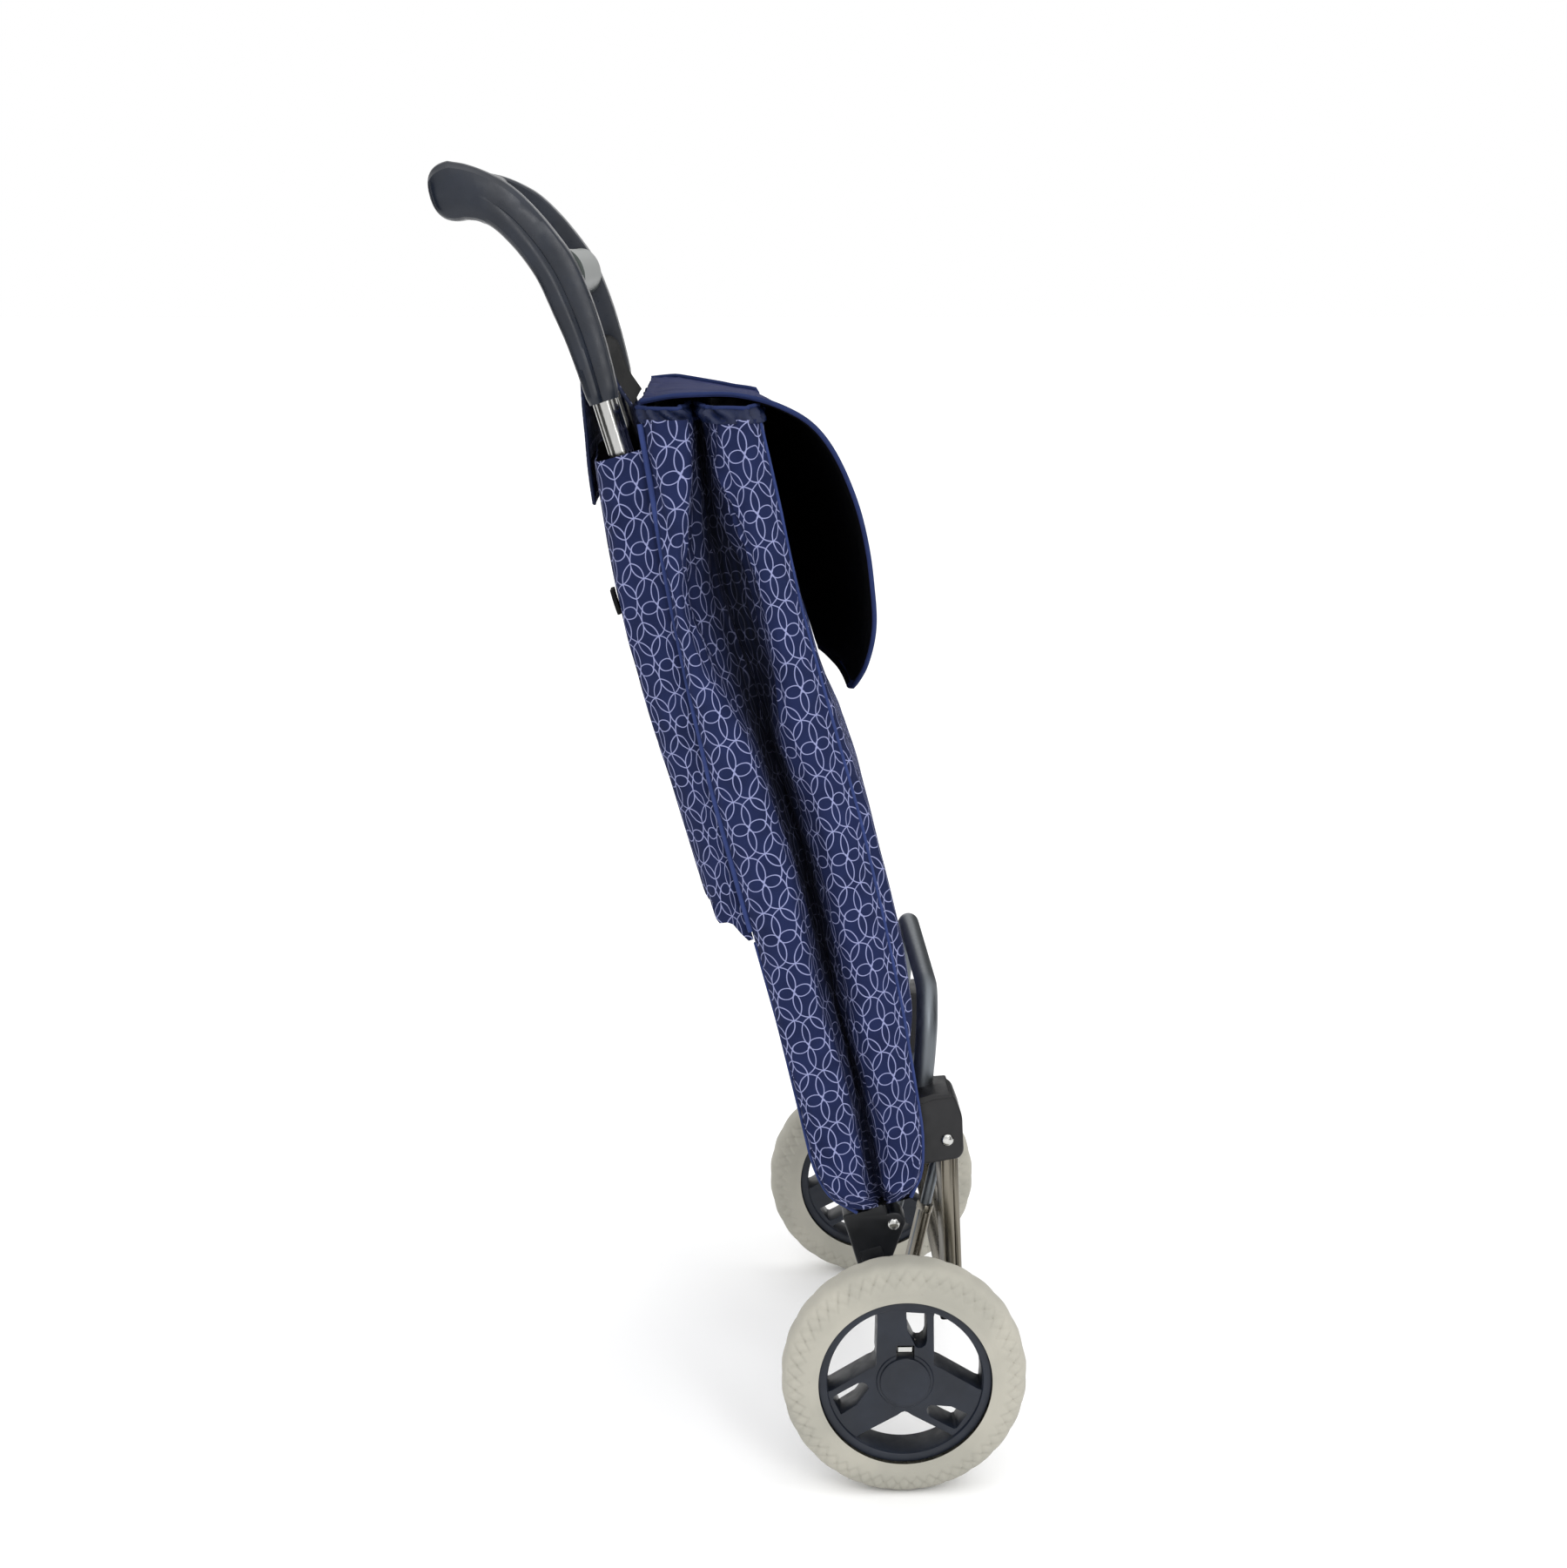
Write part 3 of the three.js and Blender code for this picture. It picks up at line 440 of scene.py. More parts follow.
def prism(outline, x0, x1, bevel=0.0, steps=3):
    """Plate with a (w, u) outline from x0 to x1, its rims rounded by a bevel."""
    outline = np.array(outline, float)
    area = np.sum(outline[:, 0] * np.roll(outline[:, 1], -1) - outline[:, 1] * np.roll(outline[:, 0], -1))
    edge = np.roll(outline, -1, 0) - np.roll(outline, 1, 0)
    inward = np.stack([-edge[:, 1], edge[:, 0]], 1)
    inward /= np.linalg.norm(inward, axis=1, keepdims=True) * math.copysign(1, area)
    levels = [(x0 + bevel * (1 - math.cos(t)), bevel * (1 - math.sin(t)))
              for t in np.linspace(0, math.pi / 2, steps + 1)]
    levels += [(x0 + x1 - x, inset) for x, inset in reversed(levels)]
    rings = []
    for x, inset in levels:
        ring = outline + inward * inset
        rings.append([(x, w, u) for w, u in ring])
    return loft(rings)


def mirrored(shape):
    verts, faces = shape
    return [(-v[0], v[1], v[2]) for v in verts], [tuple(f)[::-1] for f in faces]


def merged(*shapes):
    verts, faces = [], []
    for part_verts, part_faces in shapes:
        start = len(verts)
        verts.extend(tuple(v) for v in part_verts)
        faces.extend(tuple(i + start for i in f) for f in part_faces)
    return verts, faces


def moved(shape, w=0.0, u=0.0):
    verts, faces = shape
    return [(v[0], v[1] + w, v[2] + u) for v in verts], faces


def on_side(shape, sign):
    return shape if sign > 0 else mirrored(shape)


def smooth_path(points, per_span=8):
    """Catmull-Rom line through points of any dimension."""
    p = np.array(points, float)
    p = np.vstack([2 * p[0] - p[1], p, 2 * p[-1] - p[-2]])
    line = []
    for i in range(1, len(p) - 2):
        for t in np.linspace(0, 1, per_span, endpoint=False):
            a, b, c, d = p[i - 1], p[i], p[i + 1], p[i + 2]
            line.append(0.5 * (2 * b + (c - a) * t + (2 * a - 5 * b + 4 * c - d) * t * t
                               + (3 * b - a - 3 * c + d) * t ** 3))
    line.append(p[-2])
    return np.array(line)


def respaced(line, count):
    """The same line with count points at even distances."""
    line = np.array(line, float)
    run = np.concatenate([[0], np.cumsum(np.linalg.norm(np.diff(line, axis=0), axis=1))])
    at = np.linspace(0, run[-1], count)
    return np.stack([np.interp(at, run, line[:, k]) for k in range(line.shape[1])], 1)


def sweep(path, section, up=(1, 0, 0)):
    """Section points (a, b) carried along a path, a along the side vector and b across it."""
    path = np.array(path, float)
    along = np.gradient(path, axis=0)
    along /= np.linalg.norm(along, axis=1, keepdims=True)
    side = np.array(up, float)
    rings = []
    for point, forward in zip(path, along):
        side = side - forward * np.dot(side, forward)
        side /= np.linalg.norm(side)
        other = np.cross(forward, side)
        rings.append([point + side * a + other * b for a, b in section])
    return loft(rings)


def ring_section(radius, segments=16):
    turn = np.linspace(0, 2 * math.pi, segments, endpoint=False)
    return [(radius * math.cos(t), radius * math.sin(t)) for t in turn]


def boolean(piece, shapes, matrix):
    """Cuts shapes, drawn in the millimetres of a matrix, out of a piece."""
    for verts, faces in shapes:
        mesh = bpy.data.meshes.new("tool")
        mesh.from_pydata([tuple(map(float, v)) for v in verts], [], [tuple(f) for f in faces])
        mesh.transform(matrix)
        tool = bpy.data.objects.new("tool", mesh)
        finish_mesh(mesh)
        bpy.context.scene.collection.objects.link(tool)
        cut = piece.modifiers.new("cut", "BOOLEAN")
        cut.object, cut.operation, cut.solver = tool, "DIFFERENCE", "EXACT"
        cut.use_self = True
        bpy.context.view_layer.update()
        result = bpy.data.meshes.new_from_object(
            piece.evaluated_get(bpy.context.evaluated_depsgraph_get()))
        piece.modifiers.clear()
        piece.data = result
        bpy.data.objects.remove(tool)
    finish_mesh(piece.data, 32)


def soften(piece, width):
    """Small rounds along the sharp edges of a piece."""
    rounds = piece.modifiers.new("rounds", "BEVEL")
    rounds.width, rounds.segments, rounds.limit_method = width * MM, 2, "ANGLE"
    rounds.angle_limit = math.radians(40)
    rounds.use_clamp_overlap = True
    bpy.context.view_layer.update()
    result = bpy.data.meshes.new_from_object(
        piece.evaluated_get(bpy.context.evaluated_depsgraph_get()))
    piece.modifiers.clear()
    piece.data = result
    finish_mesh(piece.data, 32)


def box_shape(x0, x1, w0, w1, u0, u1):
    return prism([(w0, u0), (w1, u0), (w1, u1), (w0, u1)], x0, x1)


# Wheels
def turned_about(points, degrees):
    turn = math.radians(degrees)
    return [(w * math.cos(turn) - u * math.sin(turn), w * math.sin(turn) + u * math.cos(turn))
            for w, u in points]


def circle(radius):
    return [(radius * math.cos(t), radius * math.sin(t))
            for t in np.linspace(0, 2 * math.pi, 96, endpoint=False)]


def tyre_shape():
    """Solid foam tyre: rounded section with shallow diamond grooves round its shoulders."""
    steps, segments, blocks = 84, 416, 26
    inner = RIM_RADIUS
    rows = []
    for i in range(steps + 1):
        a = math.pi * i / steps - math.pi / 2
        across = math.copysign(abs(math.sin(a)) ** 0.62, a)
        out = abs(math.cos(a)) ** 0.62
        x, radius = TYRE_HALF * across, inner + (WHEEL_RADIUS - inner) * out
        ring = []
        for k in range(segments):
            turn = 2 * math.pi * k / segments
            saw = abs(2 * ((turn * blocks / (2 * math.pi)) % 1) - 1)
            shoulder = math.exp(-((radius - 80.5) / 7.5) ** 4)
            dent = 0.0
            for side in (saw, 1 - saw):
                line = 74.5 + 13 * side
                slant = (radius - line) / 1.5
                dent += 2.1 * shoulder / (1 + math.exp(-3 * slant)) * math.exp(-max(slant, 0) * 0.6)
            dent += 0.9 * saw * math.exp(-(a / 0.5) ** 2)
            for groove in (66.6, 68.8, 71.0):
                dent += 0.45 * math.exp(-((radius - groove) / 0.5) ** 2)
            scale = 1 - dent / 27
            ring.append((x * scale, (radius - dent * out) * math.cos(turn),
                         (radius - dent * out) * math.sin(turn)))
        rows.append(ring)
    return loft(rows, caps=False)


def hub_opening():
    """Outline between two spokes, symmetric about the w axis."""
    rim = RIM_RADIUS - RIM_WALL - 0.2
    arc = [(rim * math.cos(t), rim * math.sin(t)) for t in np.radians(np.linspace(-37, 37, 17))]
    peak = [(27.4, 5.4), (25.2, 2.4), (24.4, 0), (25.2, -2.4), (27.4, -5.4)]
    corners = [(44.8, 35.4), (42.6, 33.0)]
    return arc + corners + peak + [(w, -u) for w, u in reversed(corners)]


HUB_SLOT = [(0.4, 53.5), (13.8, 52.5), (15.4, 51), (15.7, 45), (15.7, 31), (14.6, 27.6),
            (12, 25.6), (9.4, 25.4), (7.5, 26.4), (1.2, 40)]


def hub_shape():
    spider = prism(circle(RIM_RADIUS - RIM_WALL + 2), -13, HUB_FACE - 1.4)
    face = HUB_FACE + 1.2
    rim = revolve([
        (RIM_RADIUS - 0.6, -face), (RIM_RADIUS, -face + 0.6), (RIM_RADIUS, face - 0.6),
        (RIM_RADIUS - 0.5, face - 0.1), (RIM_RADIUS - 1.2, face),
        (RIM_RADIUS - RIM_WALL + 1.6, face), (RIM_RADIUS - RIM_WALL + 0.5, face - 0.4),
        (RIM_RADIUS - RIM_WALL, face - 1.5), (RIM_RADIUS - RIM_WALL, -face + 1),
        (RIM_RADIUS - RIM_WALL + 1, -face), (RIM_RADIUS - 0.6, -face)], 144)
    boss = revolve([(0, -face), (20, -face), (21, -face + 1), (21, HUB_FACE - 1), (20.4, HUB_FACE - 0.2),
                    (19.6, HUB_FACE), (0, HUB_FACE)], 72)
    return merged(spider, rim, boss)


def cap_shape():
    face = HUB_FACE + 1.2
    return revolve([(0, face - 0.9), (18.4, face - 0.9), (18.5, face - 0.2), (18.2, face + 0.5),
                    (17.4, face + 0.9), (13.2, face + 0.9), (12.8, face + 0.72), (0, face + 0.72)], 72)


def add_wheels(m):
    tyre, hub, cap = tyre_shape(), hub_shape(), cap_shape()
    window = box_shape(0, 40, -6.6, 6.6, 16.8, 27.4)
    slot = box_shape(-2.9, 1.4, -8.9, 8.9, -14, 30)
    bore = revolve([(0, -40), (5.1, -40), (5.1, 40), (0, 40)], 40)
    openings = [prism(turned_about(hub_opening(), a), -30, 30) for a in (30, 150, 270)]
    openings += [prism(turned_about(HUB_SLOT, a), -30, 30) for a in (0, 120, 240)]
    for side, sign in SIDES.items():
        turn = Matrix.Rotation(0 if sign > 0 else math.pi, 4, "Z")
        place = Matrix.Translation(middle(f"tyre_{side}")) @ turn @ Matrix.Scale(MM, 4)
        body = f"wheel_{side}"
        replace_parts(add_piece(f"wheel_tyre_{side}", *tyre, m["tyre"], body, "tyre_foam", place, crease=60),
                    f"tyre_{side}")
        piece = add_piece(f"wheel_hub_{side}", *hub, m["hub"], body, "hub_plastic", place)
        boolean(piece, openings + [window, slot, bore], place)
        soften(piece, 0.9)
        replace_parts(piece, f"hub_{side}")
        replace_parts(add_piece(f"wheel_cap_{side}", *cap, m["hub"], body, "hub_plastic", place),
                    f"hub_cap_{side}")


# Frame, platform, legs and struts
def rivet_shape(inner, outer):
    return revolve([(0, inner - 1.8), (4.2, inner - 1.8), (4.8, inner - 1.2), (4.8, inner), (3, inner),
                    (3, outer), (4.7, outer), (4.8, outer + 0.5), (4.4, outer + 1.4),
                    (3.4, outer + 2.2), (1.8, outer + 2.7), (0, outer + 2.8)], 48)


def add_frame(m):
    wall = TUBE_RADIUS - TUBE_WALL
    tube = [(wall, -15), (wall + 0.3, -15), (TUBE_RADIUS - 0.3, -15), (TUBE_RADIUS, -14.6),
            (TUBE_RADIUS, 770), (wall, 770), (wall, -15)]
    turn = np.linspace(0, 2 * math.pi, 64, endpoint=False)
    ear = [(12, 66), (12, 110), (-20, 110)]
    ear += [(PIVOT_A[0] + 9 * math.cos(t), PIVOT_A[1] + 9 * math.sin(t))
            for t in np.linspace(math.pi * 0.42, math.pi * 1.08, 14)]
    ear += [(-14, 66)]
    for side, sign in SIDES.items():
        rings = [[(sign * TUBE_X + r * math.cos(t), r * math.sin(t), u) for t in turn] for r, u in tube]
        piece = add_piece(f"upright_{side}", *loft(rings, caps=False), m["polished"], "frame",
                          "polished_tube")
        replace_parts(piece, f"main_tube_{side}")
        block = merged(prism(rounded(ear, 2.5), 122.4, 143.5, 1.6, 4),
                       prism(rounded([(12, 66), (12, 110), (-12, 110), (-12, 66)], 2), 116, 127, 1.4, 3),
                       prism(rounded([(8, 70), (8, 79), (-9, 79), (-9, 70)], 2), 142.8, 144.1, 0.5, 2))
        piece = add_piece(f"bracket_low_{side}", *on_side(block, sign), m["bracket"], "frame",
                          "bracket_plastic")
        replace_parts(piece, f"pivot_bracket_{side}")
        rivet = moved(rivet_shape(106, 143.5), w=PIVOT_A[0], u=PIVOT_A[1])
        piece = add_piece(f"rivet_low_{side}", *on_side(rivet, sign), m["steel"], "frame", "bright_steel")
        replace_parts(piece, f"pivot_rivet_{side}")
        spacer = revolve([(5.1, 139.3), (8.4, 139.3), (9, 140), (9, 142), (7.6, 143.5), (7.6, 175),
                          (9, 176.5), (9, 178.6), (8.4, 179.2), (5.1, 179.2), (5.1, 139.3)], 48)
        piece = add_piece(f"spacer_{side}", *on_side(spacer, sign), m["bracket"], "frame",
                          "bracket_plastic")
        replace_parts(piece, f"axle_spacer_{side}")


def loop_path():
    """Right half of the platform tube from its pivot to the middle of the cross part."""
    start = np.array([PIVOT_A[0] + 3.3, PIVOT_A[1] - 6])
    side = smooth_path([start, (-60, 157), (-74.5, 186), (-85, 214), (-97, 246)], 12)
    side = np.vstack([side[side[:, 1] < 150], smooth_path([side[side[:, 1] < 150][-1], (-74.5, 186),
                                                         (-97, 246)], 14)])
    run = np.concatenate([[0], np.cumsum(np.linalg.norm(np.diff(side, axis=0), axis=1))])
    corner, leg = 34, run[-1] - 34
    path = [(114, d) for d in np.linspace(0, leg, 40)]
    path += [(114 - corner * (1 - math.cos(t)), leg + corner * math.sin(t))
             for t in np.linspace(0, math.pi / 2, 16)[1:]]
    path += [(x, run[-1]) for x in np.linspace(80, 0, 10)[1:]]
    return [(x, np.interp(d, run, side[:, 0]), np.interp(d, run, side[:, 1])) for x, d in path]


LEG_BRACKET = [(-77, 181), (-90, 178.5), (-94, 173), (-95, 158), (-92, 146), (-88.5, 131),
               (-84, 127), (-50, 131), (-44, 139), (-59, 172), (-62, 181)]


def add_platform(m):
    half = loop_path()
    path = half + [(-x, w, u) for x, w, u in reversed(half[:-1])]
    piece = add_piece("platform_tube", *sweep(path, ring_section(8, 28), up=(0, 1, 0)), m["loop"],
                      "platform", "grey_metal")
    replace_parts(piece, "platform_loop")
    outline = rounded(LEG_BRACKET, 4, 5)
    room = prism([(-66, 173), (-88.5, 170), (-92, 158), (-91, 151), (-120, 151), (-120, 100), (0, 100),
                  (0, 173)], 105.6, 139.4)
    axis = np.array([(-60, 157), (-74.5, 186), (-79, 197)])
    passage = sweep([(114, w, u) for w, u in axis], ring_section(9.2, 32), up=(0, 1, 0))
    for side, sign in SIDES.items():
        shell = prism(outline, 104, 142, 1.8, 4)
        piece = add_piece(f"bracket_leg_{side}", *on_side(shell, sign), m["black_bracket"], "platform",
                          "bracket_plastic")
        boolean(piece, [on_side(room, sign), on_side(passage, sign)], LEANING)
        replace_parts(piece, f"leg_bracket_{side}")
        lip = prism(rounded([(-61.5, 176), (-61.5, 181.6), (-78, 181.8), (-91.5, 178.8), (-91, 174.8),
                             (-77, 177)], 1.6, 4), 102.5, 143.2, 1.0, 3)
        add_piece(f"bracket_lip_{side}", *on_side(lip, sign), m["black_bracket"], "platform",
                  "bracket_plastic")
        rivet = moved(rivet_shape(124, 142), w=PIVOT_C[0], u=PIVOT_C[1])
        piece = add_piece(f"rivet_leg_{side}", *on_side(rivet, sign), m["steel"], "platform",
                          "bright_steel")
        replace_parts(piece, f"leg_rivet_{side}")


def bar_section(half_x, half_w, grooves, depth, corner=3.0):
    """Flat oval bar with V grooves in both broad faces at the given w."""
    side = [(half_x, half_w - corner)]
    for w in sorted(grooves, reverse=True):
        side += [(half_x, w + 1.1), (half_x - depth, w), (half_x, w - 1.1)]
    side += [(half_x, -half_w + corner)]
    arc = [(half_x - corner + corner * math.cos(t), -half_w + corner + corner * math.sin(t))
           for t in np.linspace(0, -math.pi / 2, 6)[1:]]
    right = side + arc
    return right + [(-x, -w) for x, w in right]


def upright(section, x, u0, u1, bevel=0.8):
    section = np.array(section)
    rings = []
    for u, scale in ((u0, 0.93), (u0 + bevel, 1.0), (u1 - bevel, 1.0), (u1, 0.93)):
        rings.append([(x + a * scale, w * scale, u) for a, w in section])
    return loft(rings)


def pivoted(w, u, angle):
    """Matrix of a part drawn about a pivot of the leaning frame, turned about x by an angle."""
    return LEANING @ Matrix.Translation((0, w, u)) @ Matrix.Rotation(angle, 4, "X")


def add_front_legs(m):
    place = pivoted(*PIVOT_C, LEG_ANGLE)
    bar = upright(bar_section(6, 8, (-3.6, 3.6), 0.9), LEG_X, -LEG_LENGTH + 7, 8)
    pad = prism(rounded([(-10, -LEG_LENGTH - 12), (10, -LEG_LENGTH - 12), (10, -LEG_LENGTH - 1),
                         (-10, -LEG_LENGTH - 1)], 2.5), LEG_X - 9, LEG_X + 9, 1.5)
    for side, sign in SIDES.items():
        piece = add_piece(f"leg_{side}", *on_side(bar, sign), m["satin"], "front_legs", "satin_metal",
                          place)
        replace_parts(piece, f"front_leg_{side}")
        piece = add_piece(f"foot_{side}", *on_side(pad, sign), m["bracket"], "front_legs",
                          "bracket_plastic", place)
        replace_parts(piece, f"foot_pad_{side}")
    half = [(0, -141), (7, -141), (7.8, -140.4), (8, -139.6)]
    bar = moved(revolve(half + [(r, -x) for r, x in reversed(half)], 48), u=-LEG_LENGTH)
    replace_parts(add_piece("foot_cross", *bar, m["satin"], "front_legs", "satin_metal", place),
                "foot_bar")


def add_struts(m):
    place = pivoted(0, 0, math.atan2(-PIVOT_C[0], PIVOT_C[1]))
    span = math.hypot(*PIVOT_C)
    sleeve = merged(upright(bar_section(6.5, 5.4, (0,), 0.9, 4.0), STRUT_X, 6, 100),
                    upright([(a * 1.12, w * 1.12) for a, w in bar_section(6.5, 5.4, (), 0, 4.6)],
                            STRUT_X, 96, 102, 1.2),
                    revolve([(5.1, STRUT_X - 5.5), (8.4, STRUT_X - 5.5), (9, STRUT_X - 4.9),
                             (9, STRUT_X + 4.9), (8.4, STRUT_X + 5.5), (5.1, STRUT_X + 5.5),
                             (5.1, STRUT_X - 5.5)], 40))
    turn = np.linspace(0, 2 * math.pi, 32, endpoint=False)
    rod = loft([[(STRUT_X + r * math.cos(t), r * math.sin(t), u) for t in turn]
                for r, u in ((3.6, 58), (4.1, 58.6), (4.1, span - 3), (3.9, span - 1))])
    end = moved(revolve([(0, STRUT_X - 4), (5.4, STRUT_X - 4), (6, STRUT_X - 3.4), (6, STRUT_X + 3.4),
                         (5.4, STRUT_X + 4), (0, STRUT_X + 4)], 36), u=span)
    for side, sign in SIDES.items():
        piece = add_piece(f"strut_tube_{side}", *on_side(sleeve, sign), m["satin"], "strut_sleeves",
                          "satin_metal", place)
        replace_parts(piece, f"strut_sleeve_{side}")
        piece = add_piece(f"strut_inner_{side}", *on_side(merged(rod, end), sign), m["loop"],
                          "strut_rods", "grey_metal", place)
        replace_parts(piece, f"strut_rod_{side}")


# Handle
ARM_REAR = [(11.3, 733), (13, 774), (15.7, 799), (18.7, 823), (23.7, 840), (29.8, 854), (37, 866),
            (45, 873), (53, 876.5)]
ARM_FRONT = [(-10.4, 733), (-12.3, 758), (-13, 783), (-12, 808), (-8.9, 832), (-2.6, 851), (5.6, 870),
             (16, 888), (28, 901), (41, 911), (53, 917)]
ARM_TIP = 18.5
# Half section of an arm: share of the way from its rear edge to its front edge, and x.
ARM_SECTION = [(0.0, 131), (0.0, 138), (0.015, 141.5), (0.05, 144.2), (0.11, 146), (0.2, 147),
               (0.32, 147.0), (0.40, 146.4), (0.455, 145.2), (0.475, 144.4), (0.49, 142.2),
               (0.52, 142.2), (0.7, 142.2), (0.88, 141.2), (0.94, 140.6), (0.98, 139.2), (1.0, 137.0),
               (1.0, 131)]
ARM_INNER = [(1.0, 120), (0.985, 117), (0.94, 115.4), (0.8, 115), (0.5, 115), (0.2, 115),
             (0.06, 115.4), (0.015, 117), (0.0, 120)]


def arm_shape():
    rows = 90
    rear = respaced(smooth_path(ARM_REAR, 12), rows)
    front = respaced(smooth_path(ARM_FRONT, 12), rows)
    rings = []
    for i in range(rows):
        t = i / (rows - 1)
        shrink = 0.93 + 0.07 * min(1, t * 30)
        fade = np.clip((t - 0.62) / 0.3, 0, 1)
        ring = []
        for share, x in ARM_SECTION + ARM_INNER:
            if x > 141 and 0.38 < share < 0.97:
                round_x = 131 + 15.5 * math.sqrt(max(0, 1 - (abs(share - 0.5) / 0.56) ** 3))
                x = x + (round_x - x) * fade
            w, u = rear[i] + (front[i] - rear[i]) * (0.5 + (share - 0.5) * shrink)
            ring.append((131 + (x - 131) * shrink, w, u))
        rings.append(ring)
    tip = np.array(rings[-1]).mean(0)
    onward = np.array([0, 1.0, 0.05])
    last = np.array(rings[-1])
    for reach in np.sin(np.linspace(0, math.pi / 2, 16))[1:]:
        narrow = max((1 - reach ** 2.5) ** 0.4, 0.05)
        thin = max((1 - reach ** 4) ** 0.25, 0.4)
        rings.append(tip + (last - tip) * (thin, narrow, narrow) + onward * ARM_TIP * reach)
    return loft(rings)


def add_handle(m):
    arm = arm_shape()
    for side, sign in SIDES.items():
        piece = add_piece(f"arm_{side}", *on_side(arm, sign), m["handle"], "frame", "handle_plastic",
                          crease=24)
        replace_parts(piece, f"handle_arm_{side}")
    for name, node, half_w, half_u, w, u, key, slot in (
            ("grip", "handle_grip", 15, 17, 50, 897, "handle", "handle_plastic"),
            ("bow", "cross_bow", 12.5, 17.5, 0, 823, "grey", "grey_plastic"),
            ("bar", "hanging_bar", 5, 5, 0, 762, "polished", "polished_tube")):
        rings = []
        for x in np.linspace(-114.9, 114.9, 41):
            swell = 1 - 0.04 * (1 - (x / 114.9) ** 2) if name != "bar" else 1
            rings.append([(x, w + half_w * swell * math.cos(t), u + half_u * swell * math.sin(t))
                          for t in np.linspace(0, 2 * math.pi, 56, endpoint=False)])
        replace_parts(add_piece(f"handle_{name}", *loft(rings), m[key], "frame", slot), node)


# Soft goods. Tables down the bag hold (u, value) pairs; the flap and panel edges hold (w, u) points.
# The CAD holds the same tables.
REAR_SEAM = [(112, -3), (122, 12), (138, 19), (160, 21), (204, 18), (270, 14), (374, 11), (452, 8),
             (527, 2), (606, -6), (674, -15), (740, -23)]
BACK_PANEL = [(112, -12.5), (606, -12.5), (674, -17), (740, -24)]
FRONT_SEAM = [(112, -38), (120, -50), (138, -58), (161, -64), (249, -75), (317, -81), (399, -86),
              (507, -88), (554, -89), (600, -92), (643, -95), (740, -100)]
FOLD_REAR = [(112, -14), (156, -21), (210, -25), (280, -25), (340, -28), (383, -32), (477, -32),
             (527, -21), (579, -15), (620, -19), (661, -36), (701, -50), (740, -52)]
FOLD_FRONT = [(112, -24), (152, -30), (206, -37), (274, -43), (334, -48), (376, -52), (422, -55),
              (472, -51), (514, -62), (605, -68), (652, -65), (698, -62), (740, -64)]
FOLD_DEPTH = [(112, 136), (200, 126), (400, 112), (740, 106)]
FRONT_PANEL = [(112, -22), (186, -60), (246, -84), (300, -91), (400, -95), (470, -93), (540, -92),
               (600, -94), (690, -99), (740, -102)]
SLEEVE_REAR = [(345, 35), (400, 34), (500, 33), (600, 31), (645, 26), (697, 19)]
FLAP_EDGE = [(-24, 726), (-45, 723), (-66, 717), (-92, 708), (-115, 694.5), (-133, 676),
             (-143, 650), (-147, 615), (-145, 575), (-137, 532), (-122, 500), (-105, 481)]
FLAP_HALF, FLAP_END, FLAP_GAP = 144, 481, 3.5
FLAP_CORNERS = (62, 26)
PANEL_EDGE = [(-13, 722), (-7.6, 741), (-6.4, 762), (0, 768.4), (6.4, 762), (13, 742), (20, 712),
              (25, 690), (29.5, 664)]
LOBE_X, SEAM_X = 165, 150
BAG_BOTTOM = 112


def tucked(u, x):
    """How far the front of the bag is drawn in under the flap, on the side away from its free edge."""
    height = np.clip((u - 430) / 45, 0, 1) * np.clip((710 - u) / 60, 0, 1)
    return 5.0 * height * np.clip((np.asarray(x) + 60) / 150, 0, 1)


def eased(table, u, soften=8.0):
    """Table value at u, its corners rounded over a few millimetres."""
    points = np.array(table, float)
    spread = np.asarray(u, float)[..., None] + np.linspace(-soften, soften, 9)
    return np.interp(spread, points[:, 0], points[:, 1]).mean(-1)


def ripple(a, b, seed):
    """Smooth noise from -1 to 1 over two coordinates."""
    grid = np.random.default_rng(seed).uniform(-1, 1, (64, 64))
    a, b = np.asarray(a, float), np.asarray(b, float)
    i, j = np.floor(a).astype(int), np.floor(b).astype(int)
    s, t = a - i, b - j
    s, t = s * s * (3 - 2 * s), t * t * (3 - 2 * t)
    pick = lambda di, dj: grid[(i + di) % 64, (j + dj) % 64]
    return ((pick(0, 0) * (1 - s) + pick(1, 0) * s) * (1 - t)
            + (pick(0, 1) * (1 - s) + pick(1, 1) * s) * t)


def run_length(points):
    """Distance along each row of points, starting at 0."""
    step = np.linalg.norm(np.diff(points, axis=1), axis=2)
    return np.concatenate([np.zeros((len(points), 1)), np.cumsum(step, axis=1)], axis=1)


def levelled(u, w):
    """Height up the bag, with the top rows brought level with the floor."""
    top = np.clip((u - 560) / (RIM_U - 560), 0, 1)
    return u + RIM_SLOPE * w * top * top * (3 - 2 * top)


